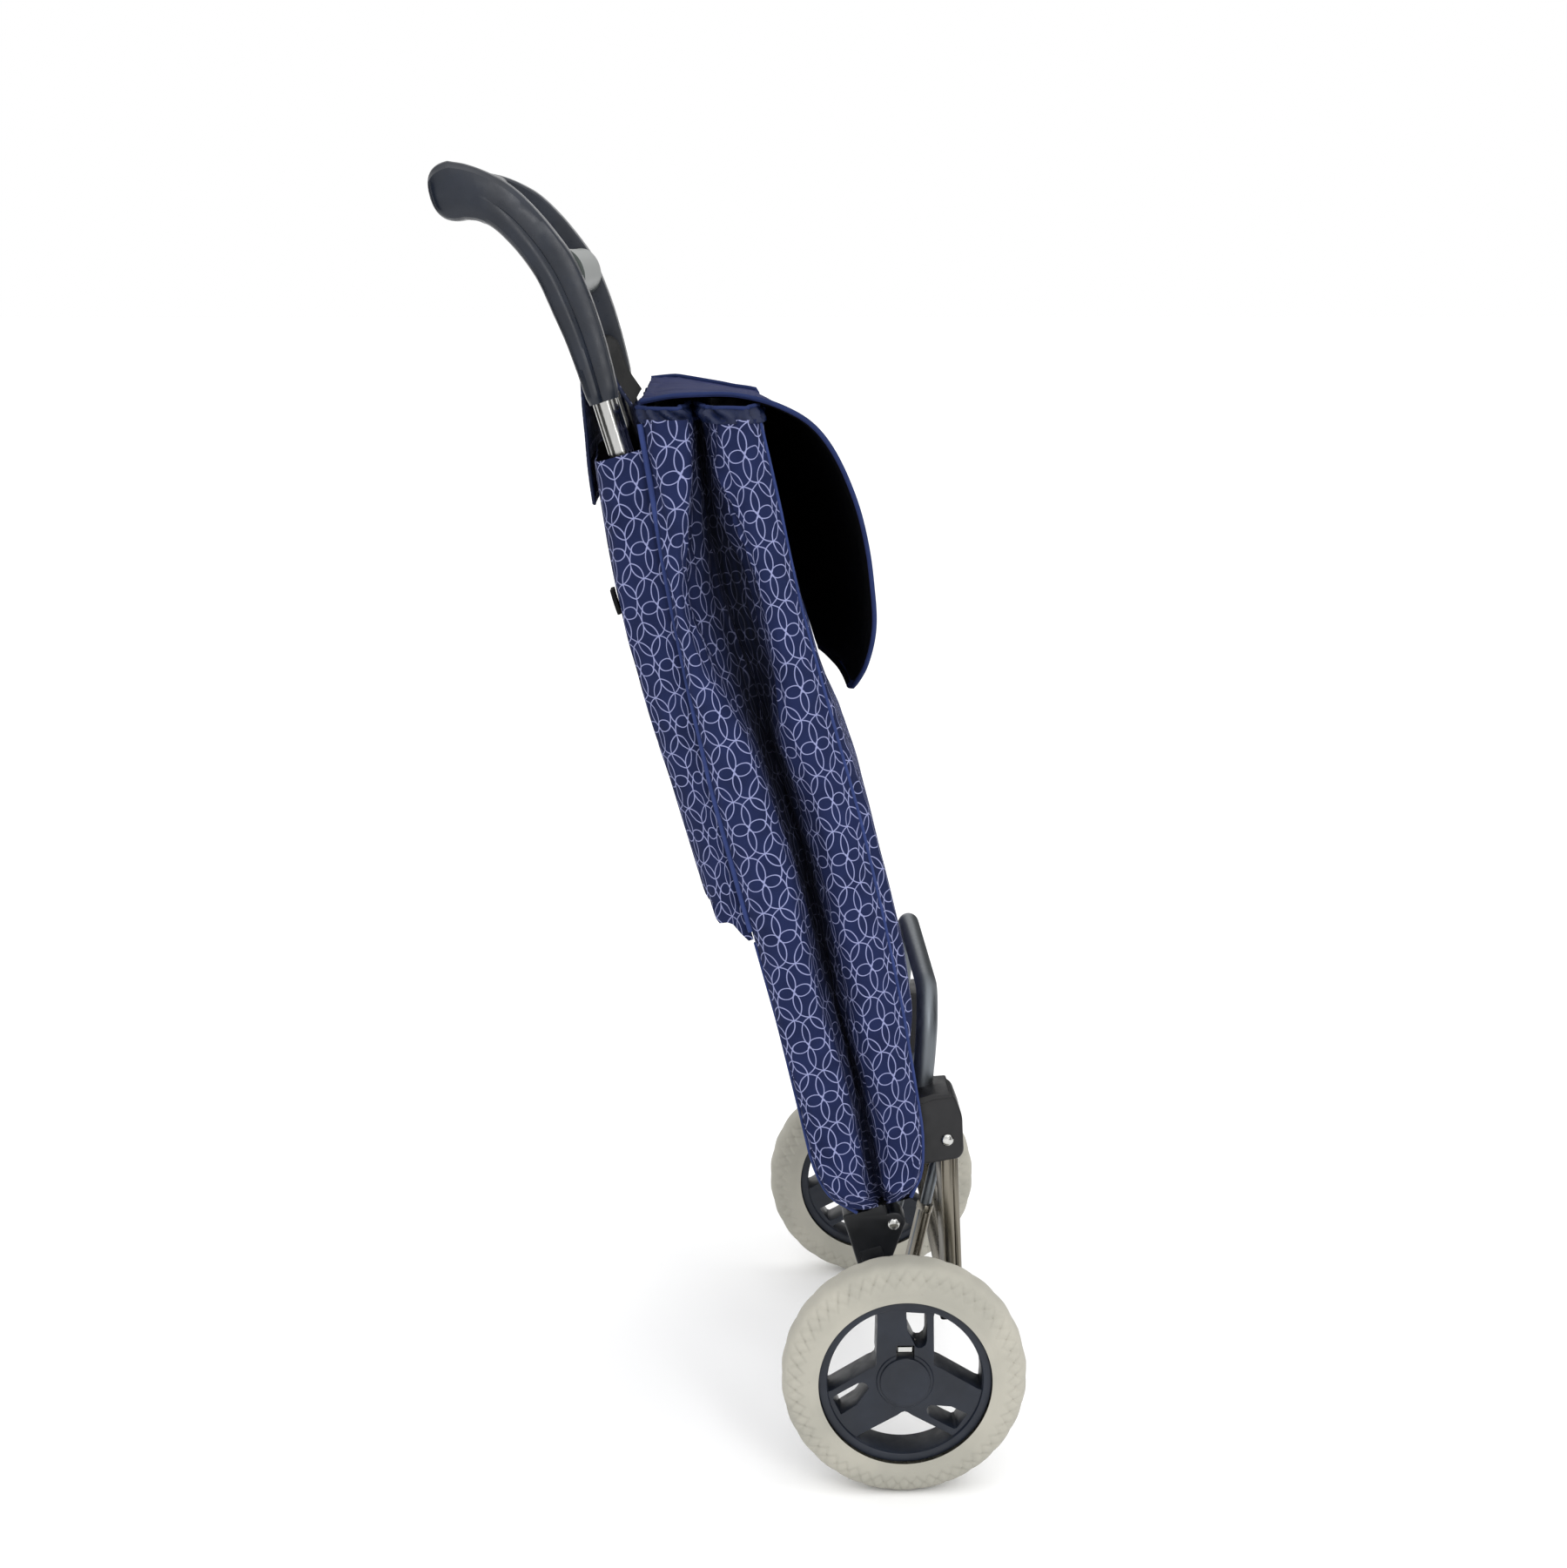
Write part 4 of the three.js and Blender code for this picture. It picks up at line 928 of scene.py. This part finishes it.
def gusset_line(u):
    """Section of one folded side from its rear seam to its front seam, as (x, w)."""
    rear, front = eased(REAR_SEAM, u), eased(FRONT_SEAM, u)
    fold_rear, fold_front = eased(FOLD_REAR, u), eased(FOLD_FRONT, u)
    valley = eased(FOLD_DEPTH, u)
    low = max(0.0, (128 - u) / 16)
    lobe = LOBE_X - 15 * min(low, 1) ** 1.6
    back, fore, mouth = rear - fold_rear, fold_front - front, fold_rear - fold_front
    rear_part = [(SEAM_X, rear), (lobe - 4, rear - 0.16 * back), (lobe, rear - 0.48 * back),
                 (lobe - 3, fold_rear + 0.1 * back), ((lobe + valley) / 2, fold_rear - 0.12 * mouth),
                 (valley, fold_rear - 0.5 * mouth)]
    front_part = [(valley, fold_rear - 0.5 * mouth), ((lobe + valley) / 2, fold_front + 0.12 * mouth),
                  (lobe - 3, fold_front - 0.1 * fore), (lobe, front + 0.52 * fore),
                  (lobe - 4, front + 0.16 * fore), (SEAM_X, front)]
    return smooth_path(rear_part, 8), smooth_path(front_part, 8)


GUSSET_COLS = 38
GUSSET_WIDTH = 0.196


def gusset_points():
    """Rows of points over one folded side, with their texture coordinates in metres."""
    levels = np.concatenate([np.linspace(BAG_BOTTOM, 140, 14)[:-1], np.linspace(140, RIM_U + 1, 178)])
    rows = []
    for u in levels:
        rear, front = gusset_line(u)
        rows.append(np.vstack([respaced(rear, GUSSET_COLS), respaced(front, GUSSET_COLS)[1:]]))
    line = np.array(rows)
    s = run_length(line)
    total = s[:, -1:]
    u = np.repeat(levels[:, None], line.shape[1], 1)
    along = np.gradient(line, axis=1)
    normal = np.stack([-along[..., 1], along[..., 0]], -1)
    normal /= np.linalg.norm(normal, axis=2, keepdims=True) + 1e-9
    edge = np.clip(np.minimum(s, total - s) / 14, 0, 1) ** 1.3
    depth = np.clip((LOBE_X - line[..., 0]) / 50, 0, 1)
    top = np.exp((u - RIM_U) / 60)
    lift = 2.2 * ripple(s / 30, u / 85, 1) + 1.1 * ripple((s + 0.3 * u) / 13, u / 46, 2)
    lift += 0.45 * ripple(s / 6, u / 17, 3) + 2.0 * top * ripple(s / 6.5, u / 140, 4)
    lift += 2.0 * np.exp((BAG_BOTTOM - u) / 9) * ripple(s / 5, u / 26, 5)
    slope = np.clip(depth * 5, 0, 1) * np.clip((0.9 - depth) * 5, 0, 1)
    crowded = np.exp(-((u - 620) / 75) ** 2)
    lift += 2.6 * slope * crowded * ripple((s + 0.1 * u) / 4.2, u / 70, 6)
    lift += 1.3 * slope * ripple((s + 0.2 * u) / 7, u / 50, 7)
    line = line + normal * (lift * edge)[..., None]
    points = np.stack([line[..., 0], line[..., 1], levelled(u, line[..., 1])], -1)
    from_front = GUSSET_WIDTH * 1000 - (total - s)
    half = np.arange(line.shape[1]) < GUSSET_COLS
    uv = np.stack([np.where(half[None, :], s, from_front) * MM, points[..., 2] * MM], -1)
    return points, uv


def panel_points(kind):
    """Rows of points over the flat front or back of the bag, seam to seam."""
    levels = np.linspace(BAG_BOTTOM, RIM_U + 1, 150)
    cols = 61
    rows = []
    for u in levels:
        if kind == "front":
            seam, flat = eased(FRONT_SEAM, u), eased(FRONT_PANEL, u)
            inside = [(147.5, seam + 1.5), (144, (seam + flat) / 2), (136, flat), (90, flat - 0.6)]
        else:
            seam, flat = eased(REAR_SEAM, u), eased(BACK_PANEL, u)
            inside = [(146, seam - 2), (142.6, seam - 0.45 * (seam - flat)),
                      (141.5, flat + 2), (136, flat), (90, flat)]
        half = [(SEAM_X, seam)] + inside + [(45, flat)]
        line = smooth_path(half + [(0, flat)] + [(-x, w) for x, w in reversed(half)], 6)
        rows.append(respaced(line, cols))
    line = np.array(rows)
    s = run_length(line)
    u = np.repeat(levels[:, None], cols, 1)
    edge = np.clip(np.minimum(s, s[:, -1:] - s) / 40, 0, 1)
    seed = 20 if kind == "front" else 30
    lift = 2.0 * ripple(s / 60, u / 90, seed) + 0.8 * ripple(s / 22, u / 35, seed + 1)
    if kind == "front":
        tuck = tucked(u, line[..., 0]) * np.clip(edge * 4, 0, 1)
        lift = lift * (1 - 0.17 * tuck)
        line[..., 1] += tuck
    line[..., 1] += lift * edge * (0.35 if kind == "back" else 0.8)
    points = np.stack([line[..., 0], line[..., 1], levelled(u, line[..., 1])], -1)
    return points, np.stack([s * MM, points[..., 2] * MM], -1)


def add_cloth(name, points, uv, outer, inner, body, slot, flip=False, thick=1.1, sign=1):
    """A sheet of cloth from rows of points, with a lining on its inner side."""
    points = np.array(points, float)
    rows, cols = points.shape[:2]
    faces = grid_faces(rows, cols)
    if sign < 0:
        points[..., 0] *= -1
    if flip != (sign < 0):
        faces = [f[::-1] for f in faces]
    mesh = bpy.data.meshes.new(name)
    mesh.from_pydata([tuple(p) for p in points.reshape(-1, 3)], [], faces)
    mesh.transform(LEANING)
    layer = mesh.uv_layers.new(name="UVMap")
    flat = np.array(uv, np.float32).reshape(-1, 2)[np.array(faces).ravel()]
    layer.data.foreach_set("uv", flat.ravel())
    mesh.materials.append(outer)
    mesh.materials.append(inner)
    piece = bpy.data.objects.new(name, mesh)
    bpy.context.scene.collection.objects.link(piece)
    SHEETS.append((piece, body, slot, thick))
    return piece


SHEETS = []
# Growth of the cloth, largest move and width of the held border (mm) for each simulated sheet.
SETTLE = {"bag_side_left": (0.007, 3.5, 9), "bag_side_right": (0.007, 3.5, 9),
          "bag_front": (0.004, 1.2, 9), "bag_back": (0.003, 2.0, 9), "sleeve": (0.004, 3.0, 10),
          "flap_sheet": (0.004, 2.0, 7)}
SETTLE_FRAMES = 16


def border_weight(piece, reach):
    """1 on the open edges of a sheet, 0 further in than reach millimetres."""
    mesh = bmesh.new()
    mesh.from_mesh(piece.data)
    edge = [v.co.copy() for v in mesh.verts if v.is_boundary]
    tree = KDTree(len(edge))
    for i, co in enumerate(edge):
        tree.insert(co, i)
    tree.balance()
    weights = [max(0.0, 1 - tree.find(v.co)[2] / (reach * MM)) for v in mesh.verts]
    mesh.free()
    return weights


def settle(piece, growth, cap, reach):
    """Cloth simulation with sewn edges held still: slack cloth wrinkles, each point moves at most cap."""
    start = np.array([v.co for v in piece.data.vertices])
    group = piece.vertex_groups.new(name="sewn")
    for i, weight in enumerate(border_weight(piece, reach)):
        group.add([i], weight, "REPLACE")
    cloth_settings = piece.modifiers.new("settle", "CLOTH").settings
    cloth_settings.vertex_group_mass = "sewn"
    cloth_settings.quality, cloth_settings.mass = 5, 0.25
    cloth_settings.shrink_min = -growth
    cloth_settings.tension_stiffness = cloth_settings.compression_stiffness = 12
    cloth_settings.bending_stiffness = 0.4
    cloth_settings.effector_weights.gravity = 0.3
    scene = bpy.context.scene
    for step in range(1, SETTLE_FRAMES + 1):
        scene.frame_set(step)
    evaluated = piece.evaluated_get(bpy.context.evaluated_depsgraph_get())
    moved_by = np.array([v.co for v in evaluated.data.vertices]) - start
    far = np.linalg.norm(moved_by, axis=1, keepdims=True) + 1e-12
    moved_by *= np.tanh(far / (cap * MM)) * cap * MM / far
    piece.modifiers.clear()
    piece.vertex_groups.clear()
    piece.data.vertices.foreach_set("co", (start + moved_by).ravel())
    scene.frame_set(1)


def finish_cloth():
    """Gives every sheet its thickness and lets it ride on its body."""
    for piece, *_ in SHEETS:
        if piece.name in SETTLE:
            settle(piece, *SETTLE[piece.name])
    for piece, body, slot, thick in SHEETS:
        shell = piece.modifiers.new("shell", "SOLIDIFY")
        shell.thickness, shell.offset = thick * MM, -1
        shell.material_offset = 1
        shell.use_quality_normals = True
        bpy.context.view_layer.update()
        result = bpy.data.meshes.new_from_object(
            piece.evaluated_get(bpy.context.evaluated_depsgraph_get()))
        piece.modifiers.clear()
        piece.data = result
        result.polygons.foreach_set("use_smooth", [True] * len(result.polygons))
        result.set_sharp_from_angle(angle=math.radians(60))
        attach(piece, body)


def add_piping(name, points, radius, m):
    return add_piece(name, *sweep(points, ring_section(radius, 10)), m["piping"], "frame",
                     "blue_cloth", crease=80)


def add_bag(m):
    points, uv = gusset_points()
    for side, sign in SIDES.items():
        add_cloth(f"bag_side_{side}", points, uv, m["print_side"], m["lining"], "frame",
                  "printed_cloth", flip=True, sign=sign)
        for seam, column in (("rear", 0), ("front", -1)):
            line = points[::3, column] * (sign, 1, 1)
            if seam == "front":
                add_piping(f"piping_front_{side}", line + (sign * 0.5, 0, 0), 1.5, m)
                continue
            beside_sleeve = line[:, 2] > 340
            add_piping(f"piping_rear_{side}", line[beside_sleeve] + (sign * 4.0, 0.6, 0), 2.3, m)
            add_piping(f"piping_low_{side}", line[~beside_sleeve] + (sign * 0.3, 0, 0), 1.3, m)
    front, front_uv = panel_points("front")
    back, back_uv = panel_points("back")
    add_cloth("bag_front", front, front_uv, m["print"], m["lining"], "frame", "printed_cloth",
              flip=True)
    add_cloth("bag_back", back, back_uv, m["print"], m["lining"], "frame", "printed_cloth")
    add_bottom(points, front, back, m)
    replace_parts(bpy.data.objects["bag_side_left"], "bag_body")
    add_collar(m)


def add_bottom(side, front, back, m):
    """Puckered underside that closes the lowest row of the four panels."""
    left = side[0]
    right = side[0] * (-1, 1, 1)
    outline = np.vstack([left[::-1][:-1], back[0][1:-1], right, front[0][::-1][1:-1]])
    turn = run_length(outline[None])[0]
    rings = []
    for t in np.linspace(0, 1, 9):
        ring = outline.copy()
        middle_w = np.interp(abs(ring[:, 0]), (0, 140, 165), (-17.5, -18, -20))
        ring[:, 1] += (middle_w - ring[:, 1]) * t * 0.97
        ring[:, 0] *= 1 - 0.06 * t
        ring[:, 2] -= 2.6 * math.sin(t * math.pi / 2) + 0.9 * ripple(turn / 6, t * 3, 8) * t
        rings.append(ring)
    rings = np.array(rings)
    closed = np.concatenate([rings, rings[:, :1]], axis=1)
    add_cloth("bag_base", closed, closed[..., [0, 1]] * MM, m["print"], m["lining"], "frame",
              "printed_cloth", flip=True)


def add_collar(m):
    """Gathered band round the mouth, level with the floor."""
    rear, front = gusset_line(RIM_U)
    side = np.vstack([rear, front[1:]])
    flat_f = eased(FRONT_PANEL, RIM_U)
    flat_r = eased(BACK_PANEL, RIM_U)
    outline = np.vstack([side, [(140, flat_f), (70, flat_f), (-70, flat_f), (-140, flat_f)],
                         (side * (-1, 1))[::-1], [(-140, flat_r), (-70, flat_r), (70, flat_r),
                                                 (140, flat_r)]])
    outline = respaced(np.vstack([outline, outline[:1]]), 560)
    s = run_length(outline[None])[0]
    along = np.gradient(outline, axis=0)
    normal = np.stack([-along[:, 1], along[:, 0]], 1)
    normal /= np.linalg.norm(normal, axis=1, keepdims=True) + 1e-9
    rows = []
    for t in np.linspace(0, 1, 12):
        gather = math.sin(math.pi * min(t * 1.1, 1)) * 0.6 + 0.6
        fold = np.sin(2 * math.pi * s / 12 + 4.0 * ripple(s / 24, t, 11)) * 2.7
        fold += 1.7 * ripple(s / 8, t * 2, 12)
        ring = outline + normal * ((fold * gather + 0.9 - 2.6 * t)[:, None])
        ring[-1] = ring[0]
        ring[:, 0] *= 1 - 0.02 * t
        pressed = np.clip((ring[:, 0] + 40) / 120, 0, 1) * np.clip((-ring[:, 1] - 25) / 30, 0, 1)
        rows.append(np.stack([ring[:, 0], ring[:, 1],
                              RIM_U + RIM_SLOPE * ring[:, 1] - 1.5 + (11.5 - 8 * pressed) * t
                              + 0.8 * t * ripple(s / 18, 0 * s, 13)], 1))
    points = np.array(rows)
    uv = np.stack([np.repeat(s[None] * MM, 12, 0), points[..., 2] * MM], -1)
    piece = add_cloth("collar", points, uv, m["satin_cloth"], m["lining"], "frame", "blue_cloth", flip=True,
                      thick=1.0)
    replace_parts(piece, "bag_collar")
    hem = points[-1][:-1:2] + (0, 0, -0.8)
    add_piece("collar_hem", *sweep(np.vstack([hem, hem[:1]]), ring_section(1.5, 8)), m["binding"],
              "frame", "blue_cloth", crease=80)


def add_sleeve(m):
    cols, rows = 91, 110
    points = []
    for t in np.linspace(0, 1, rows):
        u_mid = 340 + (697 - 340) * t
        back = eased(SLEEVE_REAR, u_mid, 14)
        seam = max(eased(REAR_SEAM, u_mid), eased(BACK_PANEL, u_mid) + 1) + 0.6
        half = [(149.4, seam), (149.8, seam + 0.3 * (back - seam)), (148.6, back - 12), (144, back - 4),
                (132, back), (60, back + 1)]
        line = respaced(smooth_path(half + [(0, back + 1.5)] + [(-x, w) for x, w in reversed(half)], 8),
                        cols)
        s = run_length(line[None])[0]
        edge = np.minimum(s, s[-1] - s)
        low = 336 + 17 * np.clip((edge - 4) / 8, 0, 1) + 13 * np.clip((edge - 22) / 14, 0, 1)
        u = low + (697 - low) * t + 2.0 * t * np.cos(line[:, 0] / 46)
        lift = 1.3 * ripple(s / 45, u / 70, 41) + 0.7 * ripple((s + 0.3 * u) / 16, u / 40, 42)
        line[:, 1] += lift * np.clip(edge / 25, 0, 1)
        points.append(np.stack([line[:, 0], line[:, 1], u], 1))
    points = np.array(points)
    uv = np.stack([run_length(points) * MM, points[..., 2] * MM], -1)
    piece = add_cloth("sleeve", points, uv, m["print"], m["lining"], "frame", "printed_cloth")
    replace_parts(piece, "rear_sleeve")
    tab = [(118.5, 33.6), (118, 34.4), (118, 35.6), (118.6, 36.3), (135.4, 36.3), (136, 35.6),
           (136, 34.4), (135.5, 33.6)]
    rings = [[(-x, w + 0.3 * math.sin((u - 588) / 6), u) for x, w in tab]
             for u in np.linspace(588, 606, 13)]
    loop = add_piece("sleeve_loop", *loft(rings), m["black"], "frame", "black_cloth", crease=50)
    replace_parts(loop, "sleeve_tab")


def corner_width(u, radius):
    """Half width of the flap at height u, beside a lower corner of this radius."""
    low = max(0.0, FLAP_END + radius - u)
    return FLAP_HALF - radius + math.sqrt(max(radius ** 2 - low ** 2, 0))


def flap_points():
    line = respaced(smooth_path(FLAP_EDGE, 12), 90)
    along = np.gradient(line, axis=0)
    along /= np.linalg.norm(along, axis=1, keepdims=True)
    run = run_length(line[None])[0]
    rows = []
    for (w, u), (tw, tu), s in zip(line, along, run):
        near, far = (corner_width(u, radius) for radius in FLAP_CORNERS)
        x = np.linspace(-near, far, 65)
        lift = 1.6 * ripple(x / 60, 0 * x + s / 60, 51) + 0.7 * ripple(x / 24, 0 * x + s / 28, 52)
        lift += 1.2 * math.exp(-s / 70) * ripple(x / 13, 0 * x + s / 90, 53)
        lift -= 2.5 * (abs(x) / FLAP_HALF) ** 3 * math.exp(-s / 60)
        against = eased(FRONT_PANEL, u) + tucked(u, FLAP_HALF) - FLAP_GAP
        held = ((x + near) / (near + far)) ** 2
        flat = held * max(0.0, against - w)
        lift *= 1 - 0.85 * held * min(s / 140, 1)
        sunk = 8.5 * held * np.clip((s - 20) / 45, 0, 1) * np.clip((150 - s) / 60, 0, 1)
        rows.append(np.stack([x, w + flat - tu * lift, u + tw * lift - sunk], 1))
    points = np.array(rows)
    uv = np.stack([points[..., 0] * MM, np.repeat(run[:, None] * MM, 65, 1)], -1)
    return points, uv


def border_strip(points, width, thick, material, name, body):
    """Folded binding along the two sides and the end of a sheet."""
    edge = np.vstack([points[:, 0], points[-1, 1:-1], points[::-1, -1]])
    inner = np.vstack([points[:, 3], points[-4, 1:-1], points[::-1, -4]])
    toward = inner - edge
    toward /= np.linalg.norm(toward, axis=1, keepdims=True) + 1e-9
    path = respaced(edge, 230)
    run = run_length(edge[None])[0]
    at = np.linspace(0, run[-1], 230)
    inward = np.stack([np.interp(at, run, toward[:, k]) for k in range(3)], 1)
    for _ in range(6):
        inward[1:-1] = (inward[:-2] + inward[1:-1] + inward[2:]) / 3
    along = np.gradient(path, axis=0)
    along /= np.linalg.norm(along, axis=1, keepdims=True)
    inward -= along * np.sum(inward * along, axis=1, keepdims=True)
    inward /= np.linalg.norm(inward, axis=1, keepdims=True)
    normal = np.cross(along, inward)
    h = thick / 2
    section = [(-1.0, 0), (-0.7, h * 0.8), (0.2, h), (width - 0.6, h), (width, h * 0.4), (width, -h * 0.4),
               (width - 0.6, -h), (0.2, -h), (-0.7, -h * 0.8)]
    rings = [[p + i * a + n * b for a, b in section] for p, i, n in zip(path, inward, normal)]
    return add_piece(name, *loft(rings), material, body, "blue_cloth", crease=70)


def add_flap(m):
    points, uv = flap_points()
    piece = add_cloth("flap_sheet", points, uv, m["blue"], m["lining"], "flap", "blue_cloth", thick=1.8,
                      flip=True)
    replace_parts(piece, "flap")
    border_strip(points, 5.5, 3.0, m["binding"], "flap_binding", "flap")


def add_hanging_panel(m):
    line = respaced(smooth_path(PANEL_EDGE, 12), 70)
    run = run_length(line[None])[0]
    along = np.gradient(line, axis=0)
    along /= np.linalg.norm(along, axis=1, keepdims=True)
    rows = []
    for (w, u), (tw, tu), s in zip(line, along, run):
        x = np.linspace(-100, 100, 47)
        lift = 0.9 * ripple(x / 40, 0 * x + s / 30, 61) * min(abs(s - 50) / 25, 1)
        rows.append(np.stack([x, w - tu * (1.6 + lift), u + tw * (1.6 + lift)], 1))
    points = np.array(rows)
    uv = np.stack([points[..., 0] * MM, np.repeat(-run[:, None] * MM, 47, 1)], -1)
    piece = add_cloth("hanging_sheet", points, uv, m["print"], m["lining"], "frame", "printed_cloth",
                      thick=1.5, flip=True)
    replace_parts(piece, "hanging_panel")
    border_strip(points, 3.0, 2.4, m["satin_cloth"], "hanging_binding", "frame")


def add_floor():
    s = Shader("floor", srgb(250, 250, 250), 0.9, Specular_IOR_Level=0.0)
    speck = s.noise(s.coords(), 3, 2)
    s.set("Base Color", s.mix(speck, srgb(249, 249, 249), srgb(252, 252, 252)))
    mesh = bpy.data.meshes.new("floor")
    mesh.from_pydata([(-30, -30, 0), (30, -30, 0), (30, 30, 0), (-30, 30, 0)], [], [(0, 1, 2, 3)])
    floor = bpy.data.objects.new("floor", mesh)
    mesh.materials.append(s.material)
    bpy.context.scene.collection.objects.link(floor)


def main():
    add_camera()
    add_studio()
    add_floor()
    m = make_materials()
    add_wheels(m)
    add_frame(m)
    add_platform(m)
    add_front_legs(m)
    add_struts(m)
    add_handle(m)
    add_bag(m)
    add_sleeve(m)
    add_flap(m)
    add_hanging_panel(m)
    finish_cloth()
    for node in ("axle", "release_clip_left", "release_clip_right"):
        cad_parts[node].data.materials[0] = m["steel"]


main()
